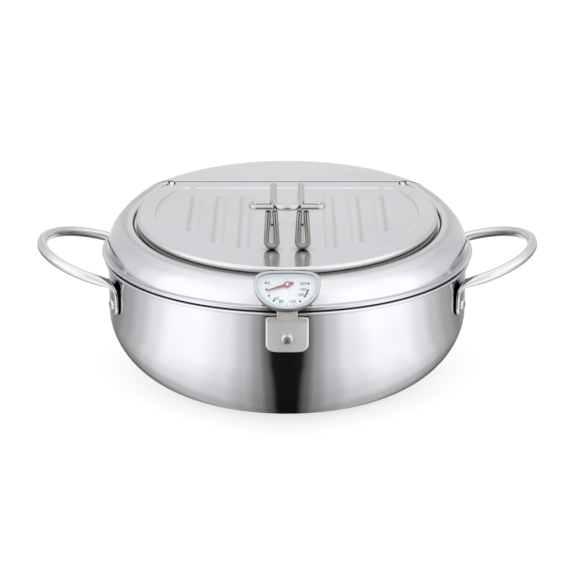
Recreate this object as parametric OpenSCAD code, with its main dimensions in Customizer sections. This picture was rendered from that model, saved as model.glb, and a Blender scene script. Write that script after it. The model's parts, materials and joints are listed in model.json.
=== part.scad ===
// Stovetop deep-frying pot with a domed lid, a hinged draining flap and a
// dial thermometer on a bracket.  Millimetres, +Z up, -Y is the thermometer
// side, origin at the centre of the flat base.

/* [Pot] */
// Outer radius of the straight pot wall
pot_r = 121.5; // [119:0.5:130]
// Thickness of the pot wall
wall_t = 1.2; // [0.8:0.1:2]
// Height where the straight wall turns into the rounded bottom
knee_z = 48; // [40:1:51]
// Radius of the flat base
base_r = 72; // [60:1:85]
// Fullness of the rounded bottom (2 is an ellipse)
pot_round = 1.85; // [1.6:0.05:2.4]
// Height of the rolled rim's top
rim_top = 86; // [84:0.5:92]
// Radius of the rolled rim's section
bead_r = 1.25; // [0.8:0.05:1.6]
// How far the rolled rim's centre stands out from the wall
bead_out = 0.9; // [0.5:0.1:1.2]

/* [Loop handles] */
// Diameter of the bent handle tube
tube_d = 7; // [5:0.5:9]
// Half the distance between a handle's two legs
loop_half = 46; // [38:1:50]
// Straight stretch between the wall and the bend
loop_leg = 10; // [6:1:14]
// Angle at which a handle rises from level
loop_rise = 17; // [5:1:25]
// Height at which the tube leaves the wall
loop_z = 77; // [74:0.5:79]
// Width of the flattened foot on the wall
foot_w = 12; // [8:0.5:14]
// Thickness of the flattened foot
foot_t = 3; // [2:0.25:4]
// Length of the foot below the tube
foot_h = 24; // [20:1:26]
// Diameter of a handle rivet's shank
rivet_d = 4; // [3:0.25:5]
// Diameter of a handle rivet's head
rivet_head_d = 8; // [6:0.5:9]
// Height of a handle rivet's dome
rivet_dome = 2; // [1:0.25:3]
// Distance of the rivet above the foot's lower end
rivet_up = 7.5; // [6:0.5:12]

/* [Lid ring] */
// Thickness of the lid's sheet
lid_t = 1.2; // [0.8:0.1:1.6]
// Clearance between pieces that move past each other
clear = 0.3; // [0.2:0.05:0.5]
// How far the lid's edge stands out past the pot wall
lid_over = 3.8; // [3:0.1:5]
// Gap between the lid's locating skirt and the pot wall
skirt_gap = 0.8; // [0.5:0.1:1.5]
// Depth of the locating skirt below the seat
skirt_h = 7; // [4:0.5:8]
// Height of the step between the seat and the lid's edge
step_h = 2.1; // [1:0.1:4]
// Thickness of the folded hem round the lid's edge
brim_h = 1.8; // [1.4:0.1:2.4]
// How far the dome stands in from the lid's edge
lid_set = 1.5; // [1.3:0.05:2]
// How far the crescent's outside stands out past the ring's
crescent_step = 0.8; // [0.6:0.1:1]
// Slant of the flap and the dome towards the front
slant = 3.6; // [0:0.1:5]
// Height of the flap's top above the lid's edge, along the slanted axis
top_h = 24.3; // [22:0.1:30]
// Depth of the ring's crest below the flap's top
crest_drop = 4.6; // [3:0.1:5]
// Fullness of the lid's shoulder (2 is an ellipse)
lid_round = 2.4; // [2:0.1:3]
// Width of the ring's rounded crest
crest_w = 2.6; // [2:0.1:4]
// Gap between the flap and the wall of its pocket
pocket_gap = 1.9; // [1:0.1:2.5]
// Width of the ledge under the flap's edge
ledge_w = 8.5; // [6:0.5:12]
// Distance from the lid's axis to the crescent's straight edge
chord_y = 61.2; // [56:0.2:66]

/* [Flap] */
// Radius of the flap
flap_r = 101.5; // [98:0.5:103]
// Thickness of the flap's sheet
flap_t = 1.2; // [0.8:0.1:1.6]
// Radius of the flap's rolled-down edge
edge_r = 2.2; // [1.6:0.1:3]
// Gap between the flap and the crescent's straight edge
chord_gap = 1.6; // [1.2:0.1:2]
// Width of the raised border round the sunk panel
border_w = 13; // [10:0.5:18]
// Depth of the sunk panel
panel_drop = 0.7; // [0.3:0.1:1]
// Width of a draining rib
rib_w = 8.5; // [5:0.5:10]
// Height of a draining rib
rib_h = 0.6; // [0.4:0.1:1.5]
// Distance of the first rib from the middle
rib_first = 28; // [24:1:32]
// Spacing of the ribs
rib_pitch = 17; // [12:0.5:18]
// Radius of the circle that the ribs' front ends follow
rib_reach = 70; // [66:1:74]
// Distance of the ribs' rear ends behind the middle
rib_back = 30; // [20:1:36]

/* [Hinge] */
// Distance of the hinge axis in front of the crescent's straight edge
hinge_front = 4.7; // [4.2:0.1:6]
// Depth of the hinge axis below the flap's top
hinge_drop = 2.7; // [2.5:0.1:3]
// Diameter of a hinge pin
pin_d = 3; // [2:0.1:3]
// Radial play of a pin in its ear
pin_play = 0.05; // [0.02:0.01:0.1]
// Outer diameter of the rolled knuckle under the flap
knuckle_d = 4.8; // [4.4:0.1:5]
// Length of a knuckle
knuckle_l = 11; // [6:0.5:16]
// Gap between an ear's outer face and the wall of the pocket
ear_gap = 1.6; // [1.4:0.1:4]
// Thickness of an ear
ear_t = 3; // [2:0.1:3.4]
// Outer diameter of an ear's eye
ear_d = 7; // [6:0.1:7.4]

/* [Flap handle] */
// Diameter of the grip wire
grip_d = 4.4; // [3:0.1:5]
// Diameter of the wing and leg wires
wire_d = 3.5; // [2.8:0.1:4.2]
// Height of the wires' middle above the sunk panel
grip_h = 28.4; // [22:0.2:34]
// Half the distance between the grip's two arms
grip_half = 9; // [8:0.2:12]
// Distance of the grip's front bend from the lid's axis
grip_front = 68.3; // [60:0.5:74]
// Distance of the grip's rear legs from the lid's axis
grip_rear = 22.4; // [18:0.5:30]
// Bend radius of the rear legs
grip_bend = 6; // [4:0.5:8]
// Distance of a wing's tip from the middle
wing_reach = 24.5; // [20:0.5:30]
// Distance between a wing's two wires
wing_gap = 6.7; // [5:0.1:8]
// Distance of a leg from the middle
leg_x = 9.9; // [9:0.1:11]
// Distance between a leg's two wires at the foot
leg_foot = 6.8; // [5:0.1:8]
// Distance between a leg's two wires at the top
leg_top = 4.2; // [4:0.1:5]

/* [Thermometer bracket] */
// Width of the bracket's plate
plate_w = 26.5; // [20:0.5:32]
// Height of the bracket's lower edge
plate_z0 = 60; // [56:0.5:62]
// Height of the bracket's shoulders
plate_z1 = 83; // [80:0.5:83]
// Corner radius of the bracket's plate
plate_corner = 5; // [2:0.5:8]
// Thickness of the bracket's sheet
plate_t = 1.4; // [1:0.1:2]
// Width of the bracket's neck
neck_w = 12.7; // [8:0.1:16]
// Depth of the neck's lower bend below the rim's top
neck_drop = 4.5; // [4.5:0.1:5.5]
// Reach of the bracket's tab below the pivot, on the case's back
tab_low = 9; // [6:0.5:11]
// Reach of the bracket's tab above the pivot, on the case's back
tab_high = 5; // [3:0.5:7]
// Diameter of the bracket screw
screw_d = 4; // [3:0.25:5]
// Diameter of the screw's head
screw_head_d = 7; // [6:0.25:9]
// Height of the screw's head
screw_head_h = 2.4; // [1.5:0.1:3]
// Width of the screw's slot
slot_w = 1.1; // [0.8:0.1:1.4]
// Depth of the screw's slot
slot_d = 1; // [0.6:0.1:1.4]
// Height of the screw above the bracket's lower edge
screw_up = 9; // [8:0.5:12]
// Play of the screw in the sheets it passes through
screw_play = 0.15; // [0.05:0.05:0.3]
// Width of the nut across its flats
nut_w = 7; // [6.5:0.25:9]
// Thickness of the nut
nut_t = 3.2; // [2.4:0.1:4]
// Air left between the pot's wall and a sheet that lies on it
seat_play = 0.05; // [0.02:0.01:0.1]
// Width of the sensor strip inside the pot
strip_w = 14; // [10:0.5:18]
// Height of the sensor strip's lower end
strip_z0 = 52; // [52:0.5:60]
// Height of the sensor strip's upper end
strip_z1 = 76.5; // [75:0.5:77]

/* [Thermometer] */
// Width of the thermometer
gauge_w = 40.5; // [34:0.5:44]
// Height of the round part below the pivot
gauge_low = 17; // [15:0.5:19]
// Height of the flat part above the pivot
gauge_up = 8; // [7:0.5:10]
// Squareness of the upper corners (2 is an ellipse)
gauge_square = 3.2; // [2.4:0.1:5]
// Depth of the case
case_h = 8; // [7:0.1:8]
// Thickness of the case's wall
case_t = 0.8; // [0.6:0.1:1]
// Width of the bezel's front lip
bezel_w = 2; // [1.6:0.1:3]
// Thickness of the bezel's front lip
bezel_t = 1; // [0.6:0.1:1.4]
// Lean of the face back from upright
gauge_lean = 38; // [32:1:42]
// Distance of the face's pivot in front of the pot's wall
gauge_out = 16.2; // [16.2:0.1:22]
// Height of the face's pivot above the base
gauge_z = 110.6; // [108:0.1:114]
// Thickness of the lens
lens_t = 1; // [0.8:0.1:1.4]
// Thickness of the dial
dial_t = 0.6; // [0.4:0.1:0.8]
// Depth of the dial below the lens
dial_drop = 2.4; // [2:0.1:2.6]
// Length of the pointer from its pivot
pointer_l = 12.8; // [9:0.1:14]
// Thickness of the pointer
pointer_t = 0.4; // [0.3:0.05:0.6]
// Diameter of the pointer's arbor
arbor_d = 1.2; // [1:0.1:1.6]
// Angle of the scale's zero, anticlockwise from the right
scale_zero = 174; // [150:1:210]
// Turn of the pointer for one degree Celsius
scale_step = 0.95; // [0.6:0.05:1.2]
// Temperature shown at rest
rest_temp = 25; // [0:5:40]

/* [Hidden] */
$fn = 64;
eps = 0.01;
// a cutter longer than any sheet is thick, and one larger than the pot
cut_l = 20;
big = 400;
// Border kept level in front of the knuckles
panel_clear = 7;
// Room between an ear and the flap's notch
ear_play = 0.7;
// How far a leg stands behind the grip's front
leg_set = 0.4;
steel = "silver";
bright = "gainsboro";

wall_in = pot_r - wall_t;
bead_z = rim_top - bead_r;

// lid levels
seat_z = rim_top + clear;
brim_z = seat_z + step_h;
brim_top = brim_z + brim_h;
lid_r = pot_r + lid_over;
skirt_r = wall_in - skirt_gap;
seat_out = pot_r + 0.7;
riser_in = skirt_r - 0.2;
dome_z = brim_top + 0.1;

// lid, along the slanted axis
dome_low = -(lid_r * sin(slant) + 0.8);
dome_low_r = lid_r - lid_set;
ring_low_r = dome_low_r - crescent_step;
pocket_r = flap_r + pocket_gap;
crest_r = pocket_r + crest_w;
crest_z = top_h - crest_drop;
skirt_end = top_h - 6.3;
ledge_z = skirt_end - 0.4;
ledge_r = flap_r - ledge_w;
hinge_y = chord_y - hinge_front;
hinge_z = top_h - hinge_drop;
flap_back = chord_y - chord_gap;
ear_x = sqrt(pow(pocket_r, 2) - pow(hinge_y + ear_d / 2, 2)) - ear_gap - ear_t;
notch_x = ear_x - ear_play;
notch_y = hinge_y - ear_d / 2 - clear - ear_play;
panel_r = flap_r - border_w;
panel_z = top_h - panel_drop;
panel_back = hinge_y - knuckle_d / 2 - panel_clear;

// handle on the flap
grip_z = panel_z + grip_h;
bend_y = -grip_front + grip_half;
leg_y = -grip_front + leg_set;

// bracket and sensor strip, each lying on one side of the pot's wall
gauge_y = pot_r + gauge_out;
plate_in = pot_r + seat_play;
plate_out = plate_in + plate_t;
strip_out = wall_in - seat_play;
strip_in = strip_out - wall_t;
screw_z = plate_z0 + screw_up;
neck_z = rim_top - neck_drop;
lens_z = -bezel_t;
dial_z = lens_z - lens_t - dial_drop;
rest_angle = scale_zero + scale_step * rest_temp;

// handles: where a leg meets the wall
foot_a = asin(loop_half / pot_r);
foot_top = loop_z + tube_d / 2;
rivet_z = foot_top - foot_h + rivet_up;

// ---- helpers ----

// Quarter of a superellipse from [r0, z0], upright there, to [r1, z1], level there
function quarter(r0, z0, r1, z1, n, steps = 18) =
    [for (i = [0 : steps]) let (a = 90 * i / steps)
        [r1 + (r0 - r1) * pow(cos(a), 2 / n), z0 + (z1 - z0) * pow(sin(a), 2 / n)]];

function reversed(list) = [for (i = [len(list) - 1 : -1 : 0]) list[i]];

// A polyline's point i, moved sideways by d with mitred corners
function side_point(p, i, d) =
    let (last = len(p) - 1,
         u = p[max(i, 1)] - p[max(i, 1) - 1],
         v = p[min(i, last - 1) + 1] - p[min(i, last - 1)],
         n0 = [-u[1], u[0]] / norm(u),
         n1 = [-v[1], v[0]] / norm(v),
         m = (n0 + n1) / norm(n0 + n1))
    p[i] + m * d / (m * n0);

// Outline of a band t thick along a polyline
function band(p, t) =
    concat([for (i = [0 : len(p) - 1]) side_point(p, i, t / 2)],
           [for (i = [len(p) - 1 : -1 : 0]) side_point(p, i, -t / 2)]);

module rod(p, q, d) {
    v = q - p;
    translate(p)
        rotate([0, acos(v[2] / norm(v)), atan2(v[1], v[0])])
            cylinder(d = d, h = norm(v));
}

module bend(r, d, angle) {
    rotate_extrude(angle = angle) translate([r, 0]) circle(d = d);
}

// The lid's slanted frame: its origin on the pot's axis, at the lid's edge
module on_slant() {
    translate([0, 0, dome_z]) rotate([slant, 0, 0]) children();
}

// The face's frame: X right, Y up the face, Z out of the face, origin at the pivot
module on_face() {
    translate([0, -gauge_y, gauge_z]) rotate([90 - gauge_lean, 0, 0]) children();
}

module right_side(side) {
    if (side > 0) children();
    else mirror([1, 0, 0]) children();
}

// ---- pot ----

function pot_outline(inset) =
    concat([[0, inset]],
           reversed(quarter(pot_r - inset, knee_z, base_r, inset, pot_round)),
           [[pot_r - inset, bead_z]]);

module pot_shell() {
    color(bright)
    difference() {
        union() {
            rotate_extrude($fn = 128)
                polygon(concat(pot_outline(0), reversed(pot_outline(wall_t))));
            rotate_extrude($fn = 128) translate([pot_r + bead_out, bead_z]) circle(r = bead_r);
        }
        for (side = [-1, 1], end = [-1, 1])
            at_rivet(side, end)
                cylinder(d = rivet_d + 0.1, h = cut_l, center = true);
        translate([0, -pot_r, screw_z]) rotate([90, 0, 0])
            cylinder(d = screw_d + 2 * screw_play, h = cut_l, center = true);
    }
}

// ---- loop handles ----

// A rivet's frame: Z out of the wall, origin on the wall's outside
module at_rivet(side, end) {
    rotate([0, 0, side > 0 ? end * foot_a : 180 - end * foot_a])
        translate([pot_r, 0, rivet_z]) rotate([0, 90, 0]) children();
}

module handle_loop(side) {
    start = pot_r * cos(foot_a);
    color(bright)
    right_side(side)
    difference() {
        union() {
            translate([start, 0, loop_z]) rotate([0, -loop_rise, 0]) {
                translate([loop_leg, 0, 0]) rotate([0, 0, -90]) bend(loop_half, tube_d, 180);
                for (end = [-1, 1])
                    translate([-5, end * loop_half, 0]) rotate([0, 90, 0])
                        cylinder(d = tube_d, h = loop_leg + 5);
            }
            for (end = [-1, 1]) rotate([0, 0, end * foot_a]) handle_foot();
        }
        cylinder(r = pot_r, h = 2 * loop_z, $fn = 128);
        for (end = [-1, 1])
            at_rivet(1, end) cylinder(d = rivet_d + 0.1, h = cut_l);
    }
}

// The flattened end of the tube, curved to the wall and round at its lower end
module handle_foot() {
    intersection() {
        translate([0, 0, foot_top - foot_h])
            cylinder(r = pot_r + foot_t, h = foot_h, $fn = 128);
        union() {
            translate([pot_r - 5, -foot_w / 2, foot_top - foot_h + foot_w / 2])
                cube([cut_l, foot_w, foot_h]);
            translate([pot_r - 5, 0, foot_top - foot_h + foot_w / 2]) rotate([0, 90, 0])
                cylinder(d = foot_w, h = cut_l);
        }
    }
}

module handle_left() handle_loop(-1);
module handle_right() handle_loop(1);

module rivet(side, end) {
    head_r = rivet_head_d / 2;
    dome_r = (head_r * head_r + rivet_dome * rivet_dome) / (2 * rivet_dome);
    color(steel)
    at_rivet(side, end) {
        translate([0, 0, -wall_t - 1]) cylinder(d = rivet_d, h = foot_t + wall_t + 1.5);
        translate([0, 0, foot_t])
            intersection() {
                translate([0, 0, rivet_dome - dome_r]) sphere(r = dome_r);
                cylinder(r = head_r, h = rivet_dome + 1);
            }
        translate([0, 0, -wall_t - 1.2]) cylinder(r = head_r - 0.5, h = 1.1);
    }
}

module rivet_left_front() rivet(-1, -1);
module rivet_left_rear() rivet(-1, 1);
module rivet_right_front() rivet(1, -1);
module rivet_right_rear() rivet(1, 1);

// ---- thermometer bracket ----

// A sheet curved round the pot: outline children lie in XZ, r0 to r1 is its thickness
module wall_sheet(r0, r1) {
    intersection() {
        difference() {
            cylinder(r = r1, h = 2 * rim_top, $fn = 128);
            translate([0, 0, -1]) cylinder(r = r0, h = 2 * rim_top + 2, $fn = 128);
        }
        children();
    }
}

module screw_hole() {
    translate([0, -pot_r, screw_z]) rotate([90, 0, 0])
        cylinder(d = screw_d + 2 * screw_play, h = cut_l, center = true);
}

module front_block(w, z0, z1) {
    translate([-w / 2, -big / 2, z0]) cube([w, big / 2, z1 - z0]);
}

// Outline of the bracket's plate, its lower corners rounded
function plate_outline() =
    let (x = plate_w / 2, c = plate_corner)
    concat([[-x, plate_z1]],
           [for (a = [180 : 15 : 270]) [c - x, plate_z0 + c] + c * [cos(a), sin(a)]],
           [for (a = [270 : 15 : 360]) [x - c, plate_z0 + c] + c * [cos(a), sin(a)]],
           [[x, plate_z1]]);

module gauge_bracket() {
    // the tab lies on the middle of the case's back
    back = -case_h - plate_t / 2;
    up = [sin(gauge_lean), cos(gauge_lean)];
    tab_mid = [-gauge_y, gauge_z] + back * [-cos(gauge_lean), sin(gauge_lean)];
    knee = [-plate_in - plate_t / 2 - 0.1, neck_z];
    path = [knee - [0, 2], knee, tab_mid - tab_low * up, tab_mid + tab_high * up];
    color(bright)
    difference() {
        union() {
            wall_sheet(plate_in, plate_out)
                translate([0, -pot_r / 2, 0]) rotate([90, 0, 0])
                    linear_extrude(pot_r) polygon(plate_outline());
            translate([-neck_w / 2, 0, 0]) rotate([90, 0, 90])
                linear_extrude(neck_w) polygon(band(path, plate_t));
        }
        screw_hole();
    }
}

module bracket_screw() {
    dome = screw_head_h / 2;
    head_r = screw_head_d / 2;
    dome_r = (head_r * head_r + dome * dome) / (2 * dome);
    color(steel)
    translate([0, -plate_out, screw_z]) rotate([90, 0, 0]) {
        translate([0, 0, -plate_t - 2 * wall_t - nut_t - 1.5])
            cylinder(d = screw_d, h = plate_t + 2 * wall_t + nut_t + 2);
        difference() {
            union() {
                cylinder(r = head_r, h = screw_head_h - dome);
                translate([0, 0, screw_head_h - dome])
                    intersection() {
                        translate([0, 0, dome - dome_r]) sphere(r = dome_r);
                        cylinder(r = head_r, h = dome + 1);
                    }
            }
            translate([-slot_w / 2, -head_r - 1, screw_head_h - slot_d])
                cube([slot_w, screw_head_d + 2, slot_d + 1]);
        }
    }
}

module sensor_strip() {
    color(steel)
    difference() {
        wall_sheet(strip_in, strip_out) front_block(strip_w, strip_z0, strip_z1);
        screw_hole();
    }
}

module bracket_nut() {
    color(steel)
    translate([0, seat_play - strip_in, screw_z]) rotate([-90, 0, 0])
        difference() {
            cylinder(d = nut_w / cos(30), h = nut_t, $fn = 6);
            translate([0, 0, -1]) cylinder(d = screw_d + 0.1, h = nut_t + 2);
        }
}

// ---- thermometer ----

// Outline of the thermometer, a half ellipse below a square-shouldered top
function gauge_outline(inset) =
    [for (i = [0 : 71]) let (a = 5 * i, up = sin(a) > 0, n = up ? gauge_square : 2)
        [(gauge_w / 2 - inset) * sign(cos(a)) * pow(abs(cos(a)), 2 / n),
         ((up ? gauge_up : gauge_low) - inset) * sign(sin(a)) * pow(abs(sin(a)), 2 / n)]];

module gauge_slab(inset, z0, z1) {
    translate([0, 0, z0]) linear_extrude(z1 - z0) polygon(gauge_outline(inset));
}

module gauge_case() {
    color(steel)
    on_face() difference() {
        union() {
            gauge_slab(1.2, -case_h, -case_h + 2);
            gauge_slab(0.4, -case_h + 2 - eps, lens_z - lens_t);
        }
        gauge_slab(0.4 + case_t + 0.8, -case_h + case_t, 0);
        gauge_slab(0.4 + case_t, dial_z - dial_t - 0.4, 0);
        translate([0, 0, -case_h - 1]) cylinder(d = arbor_d + 0.1, h = 3);
    }
}

module gauge_bezel() {
    color(bright)
    on_face() difference() {
        union() {
            gauge_slab(0, -bezel_t - lens_t, -0.4);
            gauge_slab(0.4, -0.4 - eps, 0);
        }
        gauge_slab(bezel_w, -case_h, 1);
        gauge_slab(bezel_w - 0.8, -case_h, lens_z);
    }
}

module gauge_lens() {
    color("lightcyan", 0.4)
    on_face() gauge_slab(bezel_w - 0.8 + 0.05, lens_z - lens_t, lens_z);
}

module dial_plate() {
    color("white")
    on_face() difference() {
        gauge_slab(0.4 + case_t + 0.05, dial_z - dial_t, dial_z);
        translate([0, 0, dial_z - 2]) cylinder(d = arbor_d + 0.6, h = 4);
    }
}

// A flat spiral band between the arbor and the case, edge-on to the dial
module bimetal_coil() {
    turns = 3;
    inner = arbor_d / 2 + 0.35;
    grow = 1.35;
    band = 0.5;
    z0 = -case_h + case_t;
    function spiral(r) = [for (i = [0 : 24 * turns]) let (a = 15 * i)
        (r + grow * a / 360) * [cos(a), sin(a)]];
    color("goldenrod")
    on_face() translate([0, 0, z0]) linear_extrude(dial_z - dial_t - z0 - 0.5)
        polygon(concat(spiral(inner), reversed(spiral(inner + band))));
}

module pointer() {
    hub_r = 1.9;
    mid = dial_z + 1.1;
    color("crimson")
    on_face() translate([0, 0, mid]) rotate([0, 0, rest_angle]) difference() {
        union() {
            cylinder(r = hub_r, h = pointer_t);
            linear_extrude(pointer_t)
                polygon([[-3.6, -0.9], [-3.6, 0.9], [pointer_l - 1.2, 0.35],
                         [pointer_l, 0], [pointer_l - 1.2, -0.35]]);
        }
        translate([0, 0, -1]) cylinder(d = arbor_d + 0.04, h = 3);
    }
}

module pointer_arbor() {
    color(steel)
    on_face() translate([0, 0, -case_h + 0.2])
        cylinder(d = arbor_d, h = dial_z + 1.1 + pointer_t + 0.3 + case_h - 0.2);
}

// ---- lid ring ----

function shoulder(inset, low_r, top_r, top_z) =
    quarter(low_r - inset, dome_low, top_r - inset / 2, top_z - inset, lid_round);

// The ring's section: shoulder, crest, pocket wall and ledge
module ring_section() {
    polygon(concat(
        shoulder(0, ring_low_r, crest_r, crest_z),
        [[pocket_r + 1, crest_z], [pocket_r, crest_z - 0.8], [pocket_r, ledge_z],
         [ledge_r, ledge_z], [ledge_r, ledge_z - lid_t],
         [pocket_r + lid_t, ledge_z - lid_t], [pocket_r + lid_t, crest_z - lid_t]],
        reversed(shoulder(lid_t, ring_low_r, crest_r, crest_z))));
}

module dome_solid(inset) {
    rotate_extrude($fn = 128)
        polygon(concat([[0, dome_low]], shoulder(inset, dome_low_r, flap_r, top_h),
                       [[0, top_h - inset]]));
}

module behind(y, z = -big / 2) {
    translate([-big / 2, y, z]) cube([big, big / 2, big]);
}

// Raised crescent behind the straight edge, with the wall along that edge, which
// ends at the ledge and reaches down to the brim on both sides of the pocket
module crescent() {
    reach = sqrt(pocket_r * pocket_r - chord_y * chord_y) + 2;
    difference() {
        intersection() {
            dome_solid(0);
            behind(chord_y);
        }
        intersection() {
            dome_solid(lid_t);
            union() {
                behind(chord_y + lid_t);
                translate([-reach, chord_y - 1, ledge_z - lid_t - big])
                    cube([2 * reach, lid_t + 2, big]);
            }
        }
    }
}

// The lid's level part: skirt, seat, riser and an edge rounded over
module brim() {
    edge = brim_h / 2;
    rotate_extrude($fn = 128)
        polygon(concat(
            [[skirt_r - lid_t, seat_z - skirt_h], [skirt_r, seat_z - skirt_h],
             [skirt_r, seat_z], [seat_out, seat_z], [seat_out, brim_z]],
            [for (a = [-90 : 30 : 90]) [lid_r - edge, brim_z + edge] + edge * [cos(a), sin(a)]],
            [[riser_in, brim_top], [riser_in, seat_z + lid_t],
             [skirt_r - lid_t, seat_z + lid_t]]));
}

module above_brim() {
    translate([-big / 2, -big / 2, brim_z + brim_h / 2]) cube(big);
}

module lid_ring() {
    color(bright)
    union() {
        intersection() {
            on_slant() difference() {
                rotate_extrude($fn = 128) ring_section();
                behind(chord_y + lid_t / 2);
            }
            above_brim();
        }
        intersection() {
            on_slant() crescent();
            above_brim();
        }
        on_slant() ledge_chord();
        brim();
    }
}

// The ledge along the crescent's wall, under the flap's straight edge
module ledge_chord() {
    reach = sqrt(pocket_r * pocket_r - chord_y * chord_y) - 0.5;
    translate([-reach, chord_y - ledge_w, ledge_z - lid_t])
        cube([2 * reach, ledge_w + lid_t / 2, lid_t]);
}

module hinge_ear(side) {
    color(bright)
    on_slant() right_side(side) difference() {
        union() {
            translate([ear_x, hinge_y, hinge_z]) rotate([0, 90, 0]) cylinder(d = ear_d, h = ear_t);
            translate([ear_x, hinge_y - ear_d / 2, ledge_z])
                cube([ear_t, ear_d, hinge_z - ledge_z]);
        }
        translate([ear_x - 1, hinge_y, hinge_z]) rotate([0, 90, 0])
            cylinder(d = pin_d + 2 * pin_play, h = ear_t + 2);
    }
}

module hinge_ear_left() hinge_ear(-1);
module hinge_ear_right() hinge_ear(1);

// ---- flap ----

// The flap's section: flat top, rolled edge and turned-down skirt
module flap_section() {
    roll = [for (i = [0 : 6]) let (a = 15 * i)
        [flap_r - edge_r + edge_r * sin(a), top_h - edge_r + edge_r * cos(a)]];
    inner = edge_r - flap_t;
    roll_in = [for (i = [6 : -1 : 0]) let (a = 15 * i)
        [flap_r - edge_r + inner * sin(a), top_h - edge_r + inner * cos(a)]];
    polygon(concat([[0, top_h]], roll, [[flap_r, skirt_end], [flap_r - flap_t, skirt_end]],
                   roll_in, [[0, top_h - flap_t]]));
}

// A D shape: a disc of radius r cut off behind y
module d_slab(r, y, z0, z1) {
    difference() {
        translate([0, 0, z0]) cylinder(r = r, h = z1 - z0, $fn = 128);
        behind(y);
    }
}

module rib(x) {
    ball_r = (rib_w * rib_w / 4 + rib_h * rib_h) / (2 * rib_h);
    front = -sqrt(rib_reach * rib_reach - x * x);
    floor_z = panel_z - flap_t / 2;
    intersection() {
        translate([x, 0, panel_z + rib_h - ball_r]) {
            rod([0, front, 0], [0, rib_back, 0], 2 * ball_r);
            for (y = [front, rib_back]) translate([0, y, 0]) sphere(r = ball_r);
        }
        translate([x - rib_w, front - rib_w, floor_z])
            cube([2 * rib_w, rib_back - front + 2 * rib_w, rib_h + flap_t]);
    }
}

module flap_plate() {
    color(bright)
    on_slant() difference() {
        union() {
            difference() {
                rotate_extrude($fn = 128) flap_section();
                behind(flap_back);
                d_slab(panel_r, panel_back, panel_z, top_h + 1);
            }
            d_slab(panel_r + flap_t, panel_back + flap_t, panel_z - flap_t, panel_z);
            for (side = [-1, 1], i = [0 : 2]) rib(side * (rib_first + i * rib_pitch));
            for (side = [-1, 1]) right_side(side)
                translate([notch_x - knuckle_l, hinge_y, hinge_z]) rotate([0, 90, 0])
                    cylinder(d = knuckle_d, h = knuckle_l);
        }
        for (side = [-1, 1]) right_side(side) {
            translate([notch_x, notch_y, ledge_z - 1]) cube(big / 2);
            translate([notch_x - knuckle_l - 1, hinge_y, hinge_z]) rotate([0, 90, 0])
                cylinder(d = pin_d + 0.04, h = knuckle_l + 2);
        }
    }
}

module hinge_pin(side) {
    head_x = ear_x + ear_t + clear;
    color(steel)
    on_slant() right_side(side) translate([0, hinge_y, hinge_z]) rotate([0, 90, 0]) {
        translate([0, 0, notch_x - knuckle_l]) cylinder(d = pin_d, h = head_x - notch_x + knuckle_l + 0.2);
        translate([0, 0, head_x]) cylinder(d = pin_d + 1.6, h = 0.9);
    }
}

module hinge_pin_left() hinge_pin(-1);
module hinge_pin_right() hinge_pin(1);

// ---- wire handle on the flap ----

module flap_grip() {
    rear = -grip_rear;
    color(bright)
    on_slant() {
        translate([0, bend_y, grip_z]) rotate([0, 0, 180]) bend(grip_half, grip_d, 180);
        for (x = [-grip_half, grip_half]) {
            rod([x, bend_y, grip_z], [x, rear - grip_bend, grip_z], grip_d);
            translate([x, rear - grip_bend, grip_z - grip_bend])
                rotate([90, 0, 90]) bend(grip_bend, grip_d, 90);
            rod([x, rear, panel_z], [x, rear, grip_z - grip_bend], grip_d);
        }
    }
}

// Where a wire of the wing across y meets the outside of the grip's bend
function wing_start(y) =
    let (near = max(0, abs(y - bend_y) - wire_d / 2), outer = grip_half + grip_d / 2)
    sqrt(outer * outer - near * near) + 0.02;

// A level hairpin whose two ends stand against the grip's bend
module grip_wing(side) {
    tip = wing_reach - wing_gap / 2 - wire_d / 2;
    color(bright)
    on_slant() right_side(side) {
        translate([tip, leg_y + wing_gap / 2, grip_z]) rotate([0, 0, -90])
            bend(wing_gap / 2, wire_d, 180);
        for (y = [leg_y, leg_y + wing_gap]) rod([wing_start(y), y, grip_z], [tip, y, grip_z], wire_d);
    }
}

module grip_wing_left() grip_wing(-1);
module grip_wing_right() grip_wing(1);

// An upright hairpin that stands on the flap under the grip and the wing
module grip_leg(side) {
    foot_z = panel_z + wire_d / 2 + leg_foot / 2;
    color(bright)
    on_slant() right_side(side) {
        translate([leg_x, leg_y, foot_z]) rotate([90, 0, 0]) rotate([0, 0, 180])
            bend(leg_foot / 2, wire_d, 180);
        for (i = [-1, 1])
            rod([leg_x + i * leg_foot / 2, leg_y, foot_z],
                [leg_x + i * leg_top / 2, leg_y, grip_z - grip_d / 2 - 0.1], wire_d);
    }
}

module grip_leg_left() grip_leg(-1);
module grip_leg_right() grip_leg(1);

pot_shell();
handle_left();
handle_right();
rivet_left_front();
rivet_left_rear();
rivet_right_front();
rivet_right_rear();
gauge_bracket();
bracket_screw();
bracket_nut();
sensor_strip();
gauge_case();
gauge_bezel();
gauge_lens();
dial_plate();
bimetal_coil();
pointer();
pointer_arbor();
lid_ring();
hinge_ear_left();
hinge_ear_right();
flap_plate();
hinge_pin_left();
hinge_pin_right();
flap_grip();
grip_wing_left();
grip_wing_right();
grip_leg_left();
grip_leg_right();
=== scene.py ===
"""Looks of a stovetop deep-frying pot with a domed lid, a draining flap and a dial thermometer.

Lengths are in metres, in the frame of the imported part: +Z up, the thermometer towards -Y,
the origin at the centre of the flat base.
"""

import json

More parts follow.
